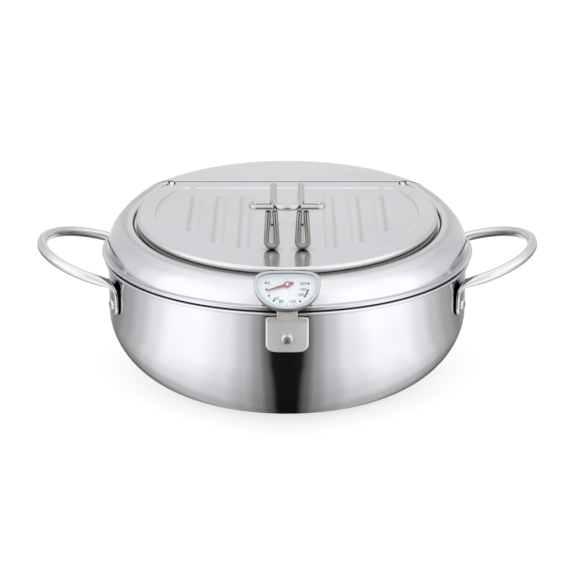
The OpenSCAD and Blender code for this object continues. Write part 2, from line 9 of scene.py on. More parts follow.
import bmesh
import bpy
import numpy as np
from bpy.props import FloatProperty, FloatVectorProperty, PointerProperty
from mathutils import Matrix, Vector


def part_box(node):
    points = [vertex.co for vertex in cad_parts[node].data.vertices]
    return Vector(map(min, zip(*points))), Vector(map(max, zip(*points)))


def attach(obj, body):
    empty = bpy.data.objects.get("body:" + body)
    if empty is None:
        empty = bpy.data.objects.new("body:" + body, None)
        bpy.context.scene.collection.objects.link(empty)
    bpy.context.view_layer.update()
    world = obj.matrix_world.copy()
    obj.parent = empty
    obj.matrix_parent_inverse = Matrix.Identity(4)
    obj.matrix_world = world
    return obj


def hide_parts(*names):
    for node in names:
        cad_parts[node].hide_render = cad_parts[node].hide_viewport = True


bl_info = {
    "name": "Deep-frying pot",
    "version": (1, 0, 0),
    "blender": (4, 5, 0),
    "location": "View3D > Sidebar > Frying pot",
    "description": "Builds a frying pot with a hinged lid flap and a dial thermometer",
    "category": "Add Mesh",
}

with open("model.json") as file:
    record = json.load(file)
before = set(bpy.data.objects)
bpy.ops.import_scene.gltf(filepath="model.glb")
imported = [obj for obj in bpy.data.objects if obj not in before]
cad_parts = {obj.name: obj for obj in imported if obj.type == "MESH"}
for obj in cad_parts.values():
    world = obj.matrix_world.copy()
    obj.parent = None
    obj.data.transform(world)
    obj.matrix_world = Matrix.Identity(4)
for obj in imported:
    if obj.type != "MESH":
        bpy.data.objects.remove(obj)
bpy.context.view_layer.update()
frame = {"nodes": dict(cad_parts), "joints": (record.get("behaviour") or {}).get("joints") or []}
MM = 0.001
TAU = 2 * np.pi
ROUND = 320  # steps round the pot and the brim
PLAY = 0.05 * MM  # clearance between the pot's wall and what is clamped or riveted to it

POT_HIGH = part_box("pot_shell")[1]
PLATE_LOW, PLATE_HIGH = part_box("gauge_bracket")
LID_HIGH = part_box("lid_ring")[1]
EAR_LOW, EAR_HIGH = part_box("hinge_ear_right")
WING_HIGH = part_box("grip_wing_right")[1]
LOOP_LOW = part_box("handle_right")[0]
NEEDLE = next(joint for joint in frame["joints"] if joint["name"] == "pointer_turn")


def length(name, default, description, low=0.0, high=1.0):
    """A length property in metres."""
    return FloatProperty(name=name, description=description, default=default, min=low, max=high,
                         unit="LENGTH", precision=4)


def degrees(name, default, description, low=-360.0, high=360.0):
    """An angle property, kept in radians and shown in degrees."""
    return FloatProperty(name=name, description=description, default=np.radians(default),
                         min=np.radians(low), max=np.radians(high), subtype="ANGLE", unit="ROTATION")


def colour(name, default, description):
    """A linear colour property."""
    return FloatVectorProperty(name=name, description=description, default=default, size=3,
                               min=0.0, max=1.0, subtype="COLOR")


def plain(name, default, description, low=0.0, high=10.0):
    """A plain number property."""
    return FloatProperty(name=name, description=description, default=default, min=low, max=high)


# ---------------------------------------------------------------- sizes and finishes

class PotSizes(bpy.types.PropertyGroup):
    """Sizes of the pot's shell."""
    wall_radius: length("Wall radius", 121.5 * MM, "Outer radius of the straight wall")
    wall: length("Wall", 1.2 * MM, "Thickness of the wall")
    knee: length("Knee height", 48 * MM, "Height where the wall turns into the rounded bottom")
    base_radius: length("Base radius", 72 * MM, "Radius of the flat base")
    fullness: plain("Fullness", 1.85, "Exponent of the rounded bottom, 2 for an ellipse", 1, 4)
    rim_top: length("Rim height", POT_HIGH.z, "Height of the rolled rim's top")
    rim_bead: length("Rim bead", 1.25 * MM, "Radius of the rolled rim's section")
    rim_blend: length("Rim blend", 1.6 * MM, "Height over which the wall's inside rounds into the rim")


class HandleSizes(bpy.types.PropertyGroup):
    """Sizes of the loop handles and their rivets."""
    tube: length("Tube", 7 * MM, "Diameter of the bent tube")
    half_span: length("Half span", 46 * MM, "Half the distance between a handle's legs")
    leg: length("Leg", 10 * MM, "Straight stretch between the wall and the bend")
    rise: degrees("Rise", 17, "Angle at which a handle rises from level", 0, 45)
    height: length("Height", 77 * MM, "Height at which the tube leaves the wall")
    foot_width: length("Foot width", 12 * MM, "Width of the flattened foot")
    foot_thick: length("Foot thickness", 3 * MM, "Thickness of the flattened foot")
    foot_bend: length("Foot bend", 7 * MM, "Bend radius between the foot and the tube")
    foot_low: length("Foot end", LOOP_LOW.z, "Height of the foot's lower end")
    rivet_height: length("Rivet height", 64 * MM, "Height of the rivets")
    rivet_head: length("Rivet head", 8 * MM, "Diameter of a rivet's head")
    rivet_dome: length("Rivet dome", 2 * MM, "Height of a rivet's head")
    rivet_shank: length("Rivet shank", 4 * MM, "Diameter of a rivet's shank")


class LidSizes(bpy.types.PropertyGroup):
    """Sizes of the lid's ring, crescent and brim."""
    slant: degrees("Slant", 3.6, "Slant of the dome towards the front", 0, 10)
    origin: length("Slant origin", 90.3 * MM, "Height of the slanted axes' origin")
    sheet: length("Sheet", 1.2 * MM, "Thickness of the lid's sheet")
    edge_radius: length("Edge radius", LID_HIGH.x, "Radius of the lid's edge")
    brim_low: length("Hem height", 89.3 * MM, "Height of the folded hem's underside")
    hem: length("Hem", 0.9 * MM, "Thickness of the folded hem")
    skirt: length("Skirt radius", 119.5 * MM, "Outer radius of the locating skirt")
    skirt_depth: length("Skirt depth", 7 * MM, "Depth of the locating skirt")
    seat: length("Seat height", 86.3 * MM, "Height where the lid rests on the rim")
    seat_edge: length("Seat edge", 122.2 * MM, "Radius of the seat's outer edge")
    dome_low: length("Dome foot", -8.67 * MM, "Foot of the dome along the slanted axis", -0.1, 0.1)
    ring_foot: length("Ring foot radius", 123.0 * MM, "Radius of the ring's foot")
    ring_crest: length("Ring crest radius", 106.0 * MM, "Radius of the ring's crest")
    ring_top: length("Ring crest height", 19.7 * MM, "Height of the ring's crest on the slanted axis")
    back_foot: length("Crescent foot radius", 123.8 * MM, "Radius of the crescent's foot")
    back_flat: length("Crescent flat radius", 101.5 * MM, "Radius where the crescent turns level")
    top: length("Top height", 24.3 * MM, "Height of the flap and the crescent on the slanted axis")
    fullness: plain("Fullness", 2.4, "Exponent of the shoulder, 2 for an ellipse", 1, 4)
    pocket: length("Pocket radius", 103.4 * MM, "Radius of the flap's pocket")
    ledge: length("Ledge radius", 93 * MM, "Inner radius of the ledge under the flap")
    ledge_height: length("Ledge height", 17.6 * MM, "Height of the ledge on the slanted axis")
    chord: length("Chord", 61.2 * MM, "Distance from the axis to the crescent's straight edge")
    rise: length("Rise", 15 * MM, "Distance behind the middle where the ring starts to rise")


class FlapSizes(bpy.types.PropertyGroup):
    """Sizes of the hinged flap."""
    radius: length("Radius", 101.5 * MM, "Radius of the flap")
    sheet: length("Sheet", 1.2 * MM, "Thickness of the flap's sheet")
    rear: length("Rear edge", 59.0 * MM, "Distance from the axis to the straight rear edge")
    roll: length("Rolled edge", 2.2 * MM, "Radius of the rolled-down edge")
    skirt: length("Skirt", 6.3 * MM, "Depth of the turned-down edge")
    panel: length("Panel radius", 88.5 * MM, "Radius of the sunk panel")
    panel_rear: length("Panel rear", 47.1 * MM, "Distance from the axis to the panel's rear edge")
    panel_drop: length("Panel depth", 0.7 * MM, "Depth of the sunk panel")
    rib_width: length("Rib width", 10.5 * MM, "Width of a draining rib")
    rib_height: length("Rib height", 0.6 * MM, "Height of a draining rib")
    rib_first: length("First rib", 28 * MM, "Distance of the first rib from the middle")
    rib_pitch: length("Rib spacing", 17 * MM, "Spacing of the ribs")
    rib_reach: length("Rib reach", 70 * MM, "Radius of the circle that the ribs' front ends follow")
    rib_rear: length("Rib rear", 30 * MM, "Distance of the ribs' rear ends behind the middle")
    notch_x: length("Notch side", 78.9 * MM, "Distance of a hinge notch from the middle")
    notch_y: length("Notch front", 52.2 * MM, "Distance of a hinge notch's front from the axis")


class HingeSizes(bpy.types.PropertyGroup):
    """Sizes of the hinge between the lid and the flap, on the slanted axes."""
    y: length("Axis distance", 56.5 * MM, "Distance of the hinge axis from the lid's axis")
    z: length("Axis height", 21.6 * MM, "Height of the hinge axis")
    ear_x: length("Ear side", EAR_LOW.x, "Distance of an ear's inner face from the middle")
    ear_thick: length("Ear thickness", EAR_HIGH.x - EAR_LOW.x, "Thickness of an ear")
    eye: length("Eye diameter", 7 * MM, "Outer diameter of an ear's eye")
    pin: length("Pin diameter", 3 * MM, "Diameter of a hinge pin")
    knuckle: length("Knuckle diameter", 4.8 * MM, "Outer diameter of a rolled knuckle")
    knuckle_length: length("Knuckle length", 11 * MM, "Length of a knuckle")


class GripSizes(bpy.types.PropertyGroup):
    """Sizes of the flap's wire handle, on the slanted axes."""
    wire: length("Grip wire", 4.4 * MM, "Diameter of the grip's wire")
    thin: length("Thin wire", 3.5 * MM, "Diameter of the wing and leg wires")
    height: length("Height", 52.0 * MM, "Height of the wires' middle")
    floor: length("Floor", 23.6 * MM, "Height of the sunk panel that the wires stand on")
    half: length("Half width", 9 * MM, "Half the distance between the grip's arms")
    front: length("Front", 68.3 * MM, "Distance of the grip's front bend from the axis")
    rear: length("Rear", 22.4 * MM, "Distance of the grip's rear legs from the axis")
    bend: length("Rear bend", 6 * MM, "Bend radius of the rear legs")
    wing_tip: length("Wing tip", WING_HIGH.x, "Distance of a wing's tip from the middle")
    wing_gap: length("Wing gap", 6.7 * MM, "Distance between a wing's wires")
    leg_x: length("Leg side", 9.9 * MM, "Distance of a leg from the middle")
    leg_foot: length("Leg foot", 6.8 * MM, "Distance between a leg's wires at the foot")
    leg_top: length("Leg top", 4.2 * MM, "Distance between a leg's wires at the top")


class GaugeSizes(bpy.types.PropertyGroup):
    """Sizes of the thermometer and its bracket."""
    lean: degrees("Lean", 38, "Lean of the face back from upright", 0, 90)
    half_width: length("Half width", 20.25 * MM, "Half the width of the face")
    low: length("Lower height", 17 * MM, "Height of the round part below the pivot")
    up: length("Upper height", 8 * MM, "Height of the flat part above the pivot")
    square: plain("Squareness", 3.2, "Exponent of the upper corners, 2 for an ellipse", 1, 6)
    depth: length("Depth", 8 * MM, "Depth of the case")
    lip: length("Bezel lip", 2 * MM, "Width of the bezel's front lip")
    lens_top: length("Lens", -1 * MM, "Height of the lens behind the bezel's front", -0.1, 0.1)
    dial_top: length("Dial", -4.4 * MM, "Height of the dial behind the bezel's front", -0.1, 0.1)
    pointer: length("Pointer", 12.8 * MM, "Length of the pointer")
    pointer_top: length("Pointer height", -3.1 * MM, "Height of the pointer's upper face", -0.1, 0.1)
    scale_radius: length("Scale radius", 12.9 * MM, "Radius of the scale's dots")
    zero: degrees("Zero", 174, "Angle of the scale's zero, anticlockwise from the right")
    step: plain("Scale step", 0.95, "Turn in degrees for one degree Celsius", 0.1, 3)
    band: length("Red band", 1.3 * MM, "Width of the red frying range")
    figure_size: length("Number size", 2.9 * MM, "Size of the scale's numbers")
    shown: plain("Temperature", 25, "Temperature that the pointer shows", 0, 200)
    plate_width: length("Plate width", PLATE_HIGH.x - PLATE_LOW.x, "Width of the bracket's plate")
    plate_low: length("Plate low", PLATE_LOW.z, "Height of the plate's lower edge")
    plate_high: length("Plate high", 83 * MM, "Height of the plate's shoulders")
    plate_corner: length("Plate corner", 5 * MM, "Corner radius of the plate")
    plate_sheet: length("Plate sheet", 1.4 * MM, "Thickness of the bracket's sheet")
    shoulder_corner: length("Shoulder corner", 1.6 * MM, "Corner radius of the plate's shoulders")
    neck: length("Neck width", 12.7 * MM, "Width of the bracket's neck")
    knee: length("Neck bend", 81.5 * MM, "Height where the neck turns away from the wall")
    screw_height: length("Screw height", 69 * MM, "Height of the bracket screw")
    screw_head: length("Screw head", 7 * MM, "Diameter of the screw's head")
    screw_rise: length("Screw head height", 2.4 * MM, "Height of the screw's head")
    slot_width: length("Slot width", 1.1 * MM, "Width of the screw's slot")
    slot_depth: length("Slot depth", 1.0 * MM, "Depth of the screw's slot")
    shank: length("Shank", 4 * MM, "Diameter of the screw's shank")
    shank_length: length("Shank length", 8.7 * MM, "Length of the screw's shank behind its head")


class Finishes(bpy.types.PropertyGroup):
    """Colours and sheens of the materials."""
    steel: colour("Polished steel", (0.612, 0.62, 0.64), "Colour of the polished steel")
    # painted shade: the dark colours that the steel's colour fades to in narrow gaps and in the flap's
    # groove, where nearby faces shut out the light
    gap: colour("Narrow gap", (0.012, 0.011, 0.010), "Colour that steel fades to in a narrow gap")
    groove: colour("Groove", (0.20, 0.19, 0.165), "Colour that steel fades to in the flap's groove")
    wire: colour("Wire", (0.50, 0.505, 0.51), "Colour of the grip's and wings' wire")
    # painted shade: the legs are the same wire as the wings, given a darker olive colour for the shade they
    # stand in beneath the grip
    legs: colour("Legs", (0.33, 0.32, 0.29), "Colour of the legs' wire")
    satin: colour("Satin steel", (0.80, 0.795, 0.785), "Colour of the satin steel")
    bezel: colour("Bezel", (0.47, 0.50, 0.525), "Colour of the thermometer's bezel")
    case: colour("Case", (0.17, 0.18, 0.185), "Colour of the thermometer's case")
    dial: colour("Dial", (0.76, 0.80, 0.83), "Colour of the dial")
    print: colour("Print", (0.03, 0.03, 0.035), "Colour of the scale's print")
    figures: colour("Figures", (0.06, 0.065, 0.07), "Colour of the scale's numbers")
    glass: colour("Glass", (0.95, 0.98, 1.0), "Colour of the lens")
    red: colour("Red", (0.30, 0.010, 0.025), "Colour of the pointer and the frying range")
    brass: colour("Bimetal", (0.60, 0.45, 0.22), "Colour of the bimetal spring")


class StageSizes(bpy.types.PropertyGroup):
    """The floor, the reflector card and the camera."""
    floor_size: length("Floor size", 6.0, "Side of the square floor", 1, 20)
    card_inner: length("Card inner radius", 0.02, "Inner radius of the reflector card")
    card_outer: length("Card outer radius", 1.1, "Outer radius of the reflector card", 0.1, 5)
    card_light: plain("Card light", 1.6, "Brightness of the reflector card", 0, 10)
    flag_half: degrees("Flag half angle", 7.5, "Half the angle of the black flag", 0, 45)
    distance: length("Camera distance", 1.2, "Distance of the camera", 0.2, 10)
    look_height: length("Look-at height", 0.059, "Height that the camera looks at")
    elevation: degrees("Camera elevation", 19.3, "Height angle of the camera", 0, 90)
    lens: plain("Lens", 109.35, "Focal length in millimetres", 20, 300)
    shift: plain("Shift", 0.0014, "Sideways shift of the lens", -1, 1)


# ---------------------------------------------------------------- curves and grids

def quarter(r0, z0, r1, z1, power=2.0, count=48):
    """Quarter of a superellipse from (r0, z0) to (r1, z1), with a running from 0 to 90 degrees.

    Its points are [r1 + (r0 - r1) cos^(2/p) a, z0 + (z1 - z0) sin^(2/p) a].
    """
    a = np.linspace(0, np.pi / 2, count)
    c, s = np.abs(np.cos(a)), np.sin(a)
    return np.stack([r1 + (r0 - r1) * c ** (2 / power), z0 + (z1 - z0) * s ** (2 / power)], -1)


def arc(x, y, radius, start, end, count=24):
    """Circular arc round (x, y), angles in degrees."""
    a = np.radians(np.linspace(start, end, count))
    return np.stack([x + radius * np.cos(a), y + radius * np.sin(a)], -1)


def unit(v):
    """Vectors scaled to length one."""
    return v / np.maximum(np.linalg.norm(v, axis=-1, keepdims=True), 1e-12)


def rounded(points, radii, closed=False, step=6.0):
    """A polyline with each corner replaced by the arc of its radius that touches both sides.

    The arc runs between the points r / tan(half the corner's angle) from the corner, and its points
    turn evenly about the centre, (a sin((1 - k) w) + b sin(k w)) / sin w for k from 0 to 1.
    """
    points = np.asarray(points, float)
    radii = np.broadcast_to(np.asarray(radii, float), (len(points),))
    out = []
    for i, (p, r) in enumerate(zip(points, radii)):
        at_end = not closed and i in (0, len(points) - 1)
        if at_end or r <= 0:
            out.append(p[None])
            continue
        back, on = unit(points[i - 1] - p), unit(points[(i + 1) % len(points)] - p)
        half = np.arccos(np.clip(back @ on, -1, 1)) / 2
        reach, centre = r / np.tan(half), p + unit(back + on) * r / np.sin(half)
        a, b = p + back * reach - centre, p + on * reach - centre
        turn = np.pi - 2 * half
        k = np.linspace(0, 1, max(3, int(np.degrees(turn) / step) + 1))[:, None]
        out.append(centre + (a * np.sin((1 - k) * turn) + b * np.sin(k * turn)) / np.sin(turn))
    return np.concatenate(out)


def resampled(path, spacing):
    """The path with its points evenly spaced along its length."""
    along = np.concatenate([[0], np.cumsum(np.linalg.norm(np.diff(path, axis=0), axis=1))])
    s = np.linspace(0, along[-1], max(2, int(along[-1] / spacing) + 1))
    return np.stack([np.interp(s, along, path[:, k]) for k in range(path.shape[1])], -1), s


def ease(t):
    """Smooth step, 3 t^2 - 2 t^3 with t held between 0 and 1."""
    t = np.clip(t, 0, 1)
    return t * t * (3 - 2 * t)


def revolve(profile, count=256):
    """Grid of a profile [radius, height] turned round Z: (r cos u, r sin u, z)."""
    u = np.linspace(0, TAU, count, endpoint=False)[:, None]
    r, z = profile[None, :, 0], profile[None, :, 1]
    return np.stack([r * np.cos(u), r * np.sin(u), np.broadcast_to(z, (count, len(profile)))], -1)


def sweep(path, side, half_width, half_height, power=2.0, count=40):
    """Tube along a path whose section is a superellipse with half-axes along `side` and tangent x `side`."""
    tangent = unit(np.gradient(path, axis=0))
    side = np.broadcast_to(np.asarray(side, float), path.shape)
    side = unit(side - (side * tangent).sum(-1, keepdims=True) * tangent)
    other = np.cross(tangent, side)
    power = np.broadcast_to(power, (len(path),))[:, None]
    half_width = np.broadcast_to(half_width, (len(path),))[:, None]
    half_height = np.broadcast_to(half_height, (len(path),))[:, None]
    a = np.linspace(0, TAU, count, endpoint=False)[None]
    c = np.sign(np.cos(a)) * np.abs(np.cos(a)) ** (2 / power) * half_width
    s = np.sign(np.sin(a)) * np.abs(np.sin(a)) ** (2 / power) * half_height
    return path[:, None] + side[:, None] * c[..., None] + other[:, None] * s[..., None]


def capped(grid):
    """The grid of a tube with a point added in the middle of each end, so that its ends close."""
    first, last = grid[:1].mean(1, keepdims=True), grid[-1:].mean(1, keepdims=True)
    shape = (1, grid.shape[1], 3)
    return np.concatenate([np.broadcast_to(first, shape), grid, np.broadcast_to(last, shape)])


def round_wire(path, side, diameter, spacing=0.6 * MM, count=32):
    """A round wire along a path, with its ends rounded over the last quarter of its diameter."""
    path, s = resampled(path, spacing)
    lead = diameter / 4
    from_end = np.minimum(s, s[-1] - s)
    t = np.clip(from_end / lead, 0, 1)
    radius = diameter / 2 * (0.5 + 0.5 * np.sqrt(1 - (1 - t) ** 2))
    return capped(sweep(path, side, radius, radius, count=count))


def face_loop(outline, inset, height):
    """A closed outline moved inwards by `inset` along its own normals, at `height`."""
    step = np.roll(outline, -1, 0) - np.roll(outline, 1, 0)
    out = unit(np.stack([step[:, 1], -step[:, 0]], -1))
    flat = outline - out * inset
    return np.concatenate([flat, np.full((len(flat), 1), height)], -1)


def slab(outline, low, high, edge):
    """Grid of a plate between two heights whose edges are rounded: outlines inset along a quarter circle."""
    a = np.radians(np.linspace(0, 90, 5))
    rings = [face_loop(outline, edge * (1 - np.cos(t)), high - edge * (1 - np.sin(t))) for t in a[::-1]]
    rings += [face_loop(outline, edge * (1 - np.cos(t)), low + edge * (1 - np.sin(t))) for t in a]
    rings = np.stack(rings, 1)
    middle = outline.mean(0)
    top = np.broadcast_to([middle[0], middle[1], high], (len(outline), 1, 3))
    bottom = np.broadcast_to([middle[0], middle[1], low], (len(outline), 1, 3))
    return np.concatenate([top, rings, bottom], 1)


# ---------------------------------------------------------------- frames of the lid and the face

def slanted(points):
    """From the lid's slanted axes to the part's: turned about X by the slant, then lifted."""
    lid = bpy.context.scene.fryer_lid
    c, s = np.cos(lid.slant), np.sin(lid.slant)
    x, y, z = np.moveaxis(points, -1, 0)
    return np.stack([x, y * c - z * s, lid.origin + y * s + z * c], -1)


def on_face(points):
    """From the face's axes (X right, Y up the face, Z out of it) to the part's, about the pointer's pivot."""
    out = Vector(NEEDLE["axis"])
    up = out.cross(Vector((1, 0, 0)))
    base = np.array([(1, 0, 0), up, out], float)
    return points @ base + np.array(NEEDLE["pos_m"])


def on_wall(points, angle, radius, height):
    """From a fastener's axes (Z out of the wall) to the part's, at an azimuth of the pot's wall."""
    c, s = np.cos(angle), np.sin(angle)
    base = np.array([(-s, c, 0), (0, 0, 1), (c, s, 0)])
    return points @ base + np.array([radius * c, radius * s, height])


# ---------------------------------------------------------------- meshes

def tube(grid):
    """A patch whose columns close round it: (points, whether its rows wrap, whether its columns wrap)."""
    return grid, False, True


def turned(grid):
    """A patch whose rows close round an axis."""
    return grid, True, False


def hoop(grid):
    """A patch that closes both ways."""
    return grid, True, True


def both_sides(grid):
    """A grid for the right side and its mirror image for the left."""
    return ("right", grid), ("left", grid * np.array([-1, 1, 1]))


def grid_faces(rows, columns, wrap_rows, wrap_columns, start):
    """Corner numbers of the quads of a grid, as one array."""
    i = np.arange(rows if wrap_rows else rows - 1)[:, None]
    j = np.arange(columns if wrap_columns else columns - 1)[None]
    i2, j2 = (i + 1) % rows, (j + 1) % columns
    quads = np.stack([i * columns + j, i2 * columns + j, i2 * columns + j2, i * columns + j2], -1)
    return quads.reshape(-1, 4) + start


def make_mesh(name, patches, sharp=38.0, weld=1e-6):
    """One mesh from patches: welded, facing outwards, smooth but for edges sharper than `sharp` degrees."""
    points, faces, start = [], [], 0
    for grid, wrap_rows, wrap_columns in patches:
        rows, columns = grid.shape[:2]
        points.append(grid.reshape(-1, 3))
        faces.append(grid_faces(rows, columns, wrap_rows, wrap_columns, start))
        start += rows * columns
    points, faces = np.concatenate(points), np.concatenate(faces)
    mesh = bpy.data.meshes.new(name)
    mesh.vertices.add(len(points))
    mesh.vertices.foreach_set("co", points.astype(np.float32).ravel())
    mesh.loops.add(faces.size)
    mesh.loops.foreach_set("vertex_index", faces.astype(np.int32).ravel())
    mesh.polygons.add(len(faces))
    mesh.polygons.foreach_set("loop_start", np.arange(0, faces.size, 4, dtype=np.int32))
    mesh.update(calc_edges=True)
    bm = bmesh.new()
    bm.from_mesh(mesh)
    bmesh.ops.remove_doubles(bm, verts=bm.verts, dist=weld)
    bmesh.ops.dissolve_degenerate(bm, edges=bm.edges, dist=weld)
    bmesh.ops.recalc_face_normals(bm, faces=bm.faces)
    bm.to_mesh(mesh)
    bm.free()
    mesh.validate()
    mesh.polygons.foreach_set("use_smooth", np.ones(len(mesh.polygons), bool))
    mesh.set_sharp_from_angle(angle=np.radians(sharp))
    return mesh


def link(name, data):
    """A new object that holds a mesh, a lamp or a camera, linked to the scene."""
    piece = bpy.data.objects.new(name, data)
    bpy.context.scene.collection.objects.link(piece)
    return piece


def place(name, patches, look, body, nodes, sharp=38.0):
    """Links a piece made of patches in one of the finishes; it rides on a body and stands for the nodes."""
    piece = link(name, make_mesh(name, patches, sharp))
    piece.data.materials.append(finish(look))
    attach(piece, body)
    if nodes:
        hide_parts(*nodes)
    return piece


# ---------------------------------------------------------------- materials

def fill(tree, made, inputs):
    """Sets a node's inputs: a socket is linked, and a plain value is written."""
    for key, value in inputs.items():
        if isinstance(value, bpy.types.NodeSocket):
            tree.links.new(value, made.inputs[key])
        else:
            made.inputs[key].default_value = value


def node(tree, kind, inputs=None, **settings):
    """A shader node of a kind, with its settings and inputs."""
    made = tree.nodes.new("ShaderNode" + kind)
    for key, value in settings.items():
        setattr(made, key, value)
    fill(tree, made, inputs or {})
    return made


def bare_tree(owner):
    """The emptied node tree of a material or a world."""
    owner.use_nodes = True
    owner.node_tree.nodes.clear()
    return owner.node_tree


def shader(name):
    """A new material, its node tree, its Principled shader and its object coordinates."""
    material = bpy.data.materials.new(name)
    material.use_nodes = True
    tree = material.node_tree
    return material, tree, tree.nodes["Principled BSDF"], node(tree, "TexCoord").outputs["Object"]


def noise(tree, vector, scale, detail=3.0, stretch=None):
    """A noise texture's value, its coordinates stretched if asked."""
    if stretch is not None:
        vector = node(tree, "Mapping", {"Vector": vector, "Scale": stretch}).outputs["Vector"]
    return node(tree, "TexNoise", {"Vector": vector, "Scale": scale, "Detail": detail}).outputs["Fac"]


def ranged(tree, value, low, high, start=0.3, end=0.7):
    """A value mapped from start..end to low..high."""
    return node(tree, "MapRange", {"Value": value, "From Min": start, "From Max": end,
                                   "To Min": low, "To Max": high}).outputs["Result"]


def calculated(tree, operation, *values):
    """A sum, product or other operation on sockets or numbers."""
    return node(tree, "Math", dict(enumerate(values)), operation=operation).outputs["Value"]


def blended(tree, share, first, second, blend="MIX"):
    """Two colours mixed by a share, or blended another way."""
    inputs = {"Fac": share, "Color1": first, "Color2": second}
    return node(tree, "MixRGB", inputs, blend_type=blend).outputs["Color"]


def tinted(tree, value, base, spread):
    """The base colour, wandering with a value between darkened and lightened by `spread`."""
    made = node(tree, "ValToRGB", {"Fac": value})
    for stop, position, factor in zip(made.color_ramp.elements, (0.3, 0.7), (1 - spread, 1 + spread)):
        stop.position = position
        stop.color = (*[min(1, part * factor) for part in base], 1)
    return made.outputs["Color"]


def bumped(tree, value, strength, depth):
    """The normal, bumped by a value."""
    return node(tree, "Bump", {"Height": value, "Strength": strength, "Distance": depth}).outputs["Normal"]


def shaded_gaps(tree, base, tone, reach, shut, clear):
    """Painted shade: the base colour, faded to a dark tone where nearby faces shut out the room, as in a
    narrow gap.

    The share of directions that run free for `reach` is mapped from shut..clear to tone..base colour.
    """
    openness = node(tree, "AmbientOcclusion", {"Distance": reach}, samples=8).outputs["AO"]
    return blended(tree, ranged(tree, openness, 0.0, 1.0, shut, clear), (*tone, 1), base)


def metal(name, base, sheen, stretch=(1, 1, 1), scale=1500.0, bump=0.02, gap=None, dull=0.0):
    """Metal whose sheen wanders in soft clouds, with fine polishing marks stretched along the grain.

    `sheen` is the range of its roughness, the gap-shade option the dark tone and the limits of the painted
    shade in its gaps, and `dull` the share of its surface that scatters light like enamel.
    """
    material, tree, bsdf, where = shader(name)
    low, high = sheen
    clouds = noise(tree, where, 22.0, 2.0)
    marks = noise(tree, where, scale, 4.0, stretch)
    tint = tinted(tree, clouds, base, 0.03)
    # painted shade in gaps and grooves, faded into the colour
    if gap:
        tint = shaded_gaps(tree, tint, getattr(bpy.context.scene.fryer_finish, gap[0]), *gap[1:])
    rough = calculated(tree, "ADD", ranged(tree, clouds, low, high), ranged(tree, marks, 0, (high - low) / 2))
    fill(tree, bsdf, {"Metallic": 1.0 - dull, "Base Color": tint, "Roughness": rough,
                      "Normal": bumped(tree, marks, bump, 0.05 * MM)})
    return material


def paint(name, base, rough, spread=0.02):
    """Printed or painted surface: satin, with a faint speckle in colour and sheen."""
    material, tree, bsdf, where = shader(name)
    specks = noise(tree, where, 1500.0, 2.0)
    fill(tree, bsdf, {"Base Color": tinted(tree, specks, base, spread),
                      "Roughness": ranged(tree, specks, rough * 0.9, rough * 1.1),
                      "Normal": bumped(tree, specks, 0.03, 0.02 * MM)})
    return material


def clear_lens(name, base):
    """Thin clear lens: mostly see-through, with a weak gloss that wanders slightly."""
    material, tree, bsdf, where = shader(name)
    sheen = ranged(tree, noise(tree, where, 40.0), 0.02, 0.06)
    fill(tree, bsdf, {"Base Color": (*base, 1), "Alpha": 0.06, "IOR": 1.5, "Roughness": sheen})
    return material


# the polishing marks of the large pieces run round them, and those of the flap from front to rear
LATHED = {"stretch": (1, 1, 6), "scale": 700.0, "bump": 0.012}
BRUSHED = {"stretch": (6, 1, 1), "scale": 700.0, "bump": 0.012}

# each finish: how it is made, the material's name, its colour and the rest of what the maker takes
FINISHES = {
    # the gap-shade entries paint shade into the colour where faces lie close together; the brim's is the
    # strongest and paints its hem and the gap beneath it nearly black
    "mirror": (metal, "mirror_polished_steel", "steel",
               {"sheen": (0.045, 0.085), "gap": ("gap", 4 * MM, 0.42, 0.72), **LATHED}),
    "lid": (metal, "polished_lid_steel", "steel", {"sheen": (0.07, 0.12), **LATHED}),
    "crescent": (metal, "polished_crescent_steel", "steel",
                 {"sheen": (0.07, 0.12), "gap": ("groove", 5 * MM, 0.3, 0.95), **LATHED}),
    "brim": (metal, "polished_brim_steel", "steel",
             {"sheen": (0.07, 0.12), "gap": ("gap", 8 * MM, 0.38, 0.62), **LATHED}),
    "flap": (metal, "polished_flap_steel", "steel",
             {"sheen": (0.16, 0.20), "gap": ("groove", 6 * MM, 0.3, 0.95), **BRUSHED}),
    "wire": (metal, "polished_wire_steel", "wire",
             {"sheen": (0.05, 0.10), "scale": 1200.0, "gap": ("gap", 2 * MM, 0.2, 0.9)}),
    # painted shade: a darker copy of the wire steel for the legs
    "legs": (metal, "dull_wire_steel", "legs",
             {"sheen": (0.10, 0.16), "scale": 1200.0, "gap": ("gap", 3 * MM, 0.2, 0.9)}),
    "satin": (metal, "satin_bracket_steel", "satin",
              {"sheen": (0.34, 0.42), "stretch": (1, 30, 1), "scale": 300.0, "bump": 0.08, "dull": 0.32}),
    "bezel": (metal, "satin_bezel_metal", "bezel", {"sheen": (0.26, 0.36), "bump": 0.06}),
    "case": (metal, "satin_case_metal", "case", {"sheen": (0.26, 0.36), "bump": 0.06}),
    "screw": (metal, "screw_steel", "steel", {"sheen": (0.30, 0.38), "bump": 0.05}),
    "brass": (metal, "bimetal_brass", "brass", {"sheen": (0.25, 0.35), "scale": 900.0, "bump": 0.05}),
    "dial": (paint, "dial_white_enamel", "dial", {"rough": 0.45}),
    "print": (paint, "dial_black_print", "print", {"rough": 0.5, "spread": 0.15}),
    "figures": (paint, "dial_grey_figures", "figures", {"rough": 0.5, "spread": 0.1}),
    "red": (paint, "pointer_red_enamel", "red", {"rough": 0.35, "spread": 0.06}),
    "lens": (clear_lens, "clear_lens_glass", "glass", {}),
}
MATERIALS = {}


def finish(key):
    """The material of a finish, made once."""
    if key not in MATERIALS:
        maker, name, tone, options = FINISHES[key]
        MATERIALS[key] = maker(name, getattr(bpy.context.scene.fryer_finish, tone), **options)
    return MATERIALS[key]


def refinish(node_name, key):
    """Gives a node of the frame, kept as it is, one of the finishes."""
    mesh = frame["nodes"][node_name].data
    mesh.materials.clear()
    mesh.materials.append(finish(key))


# ---------------------------------------------------------------- pot

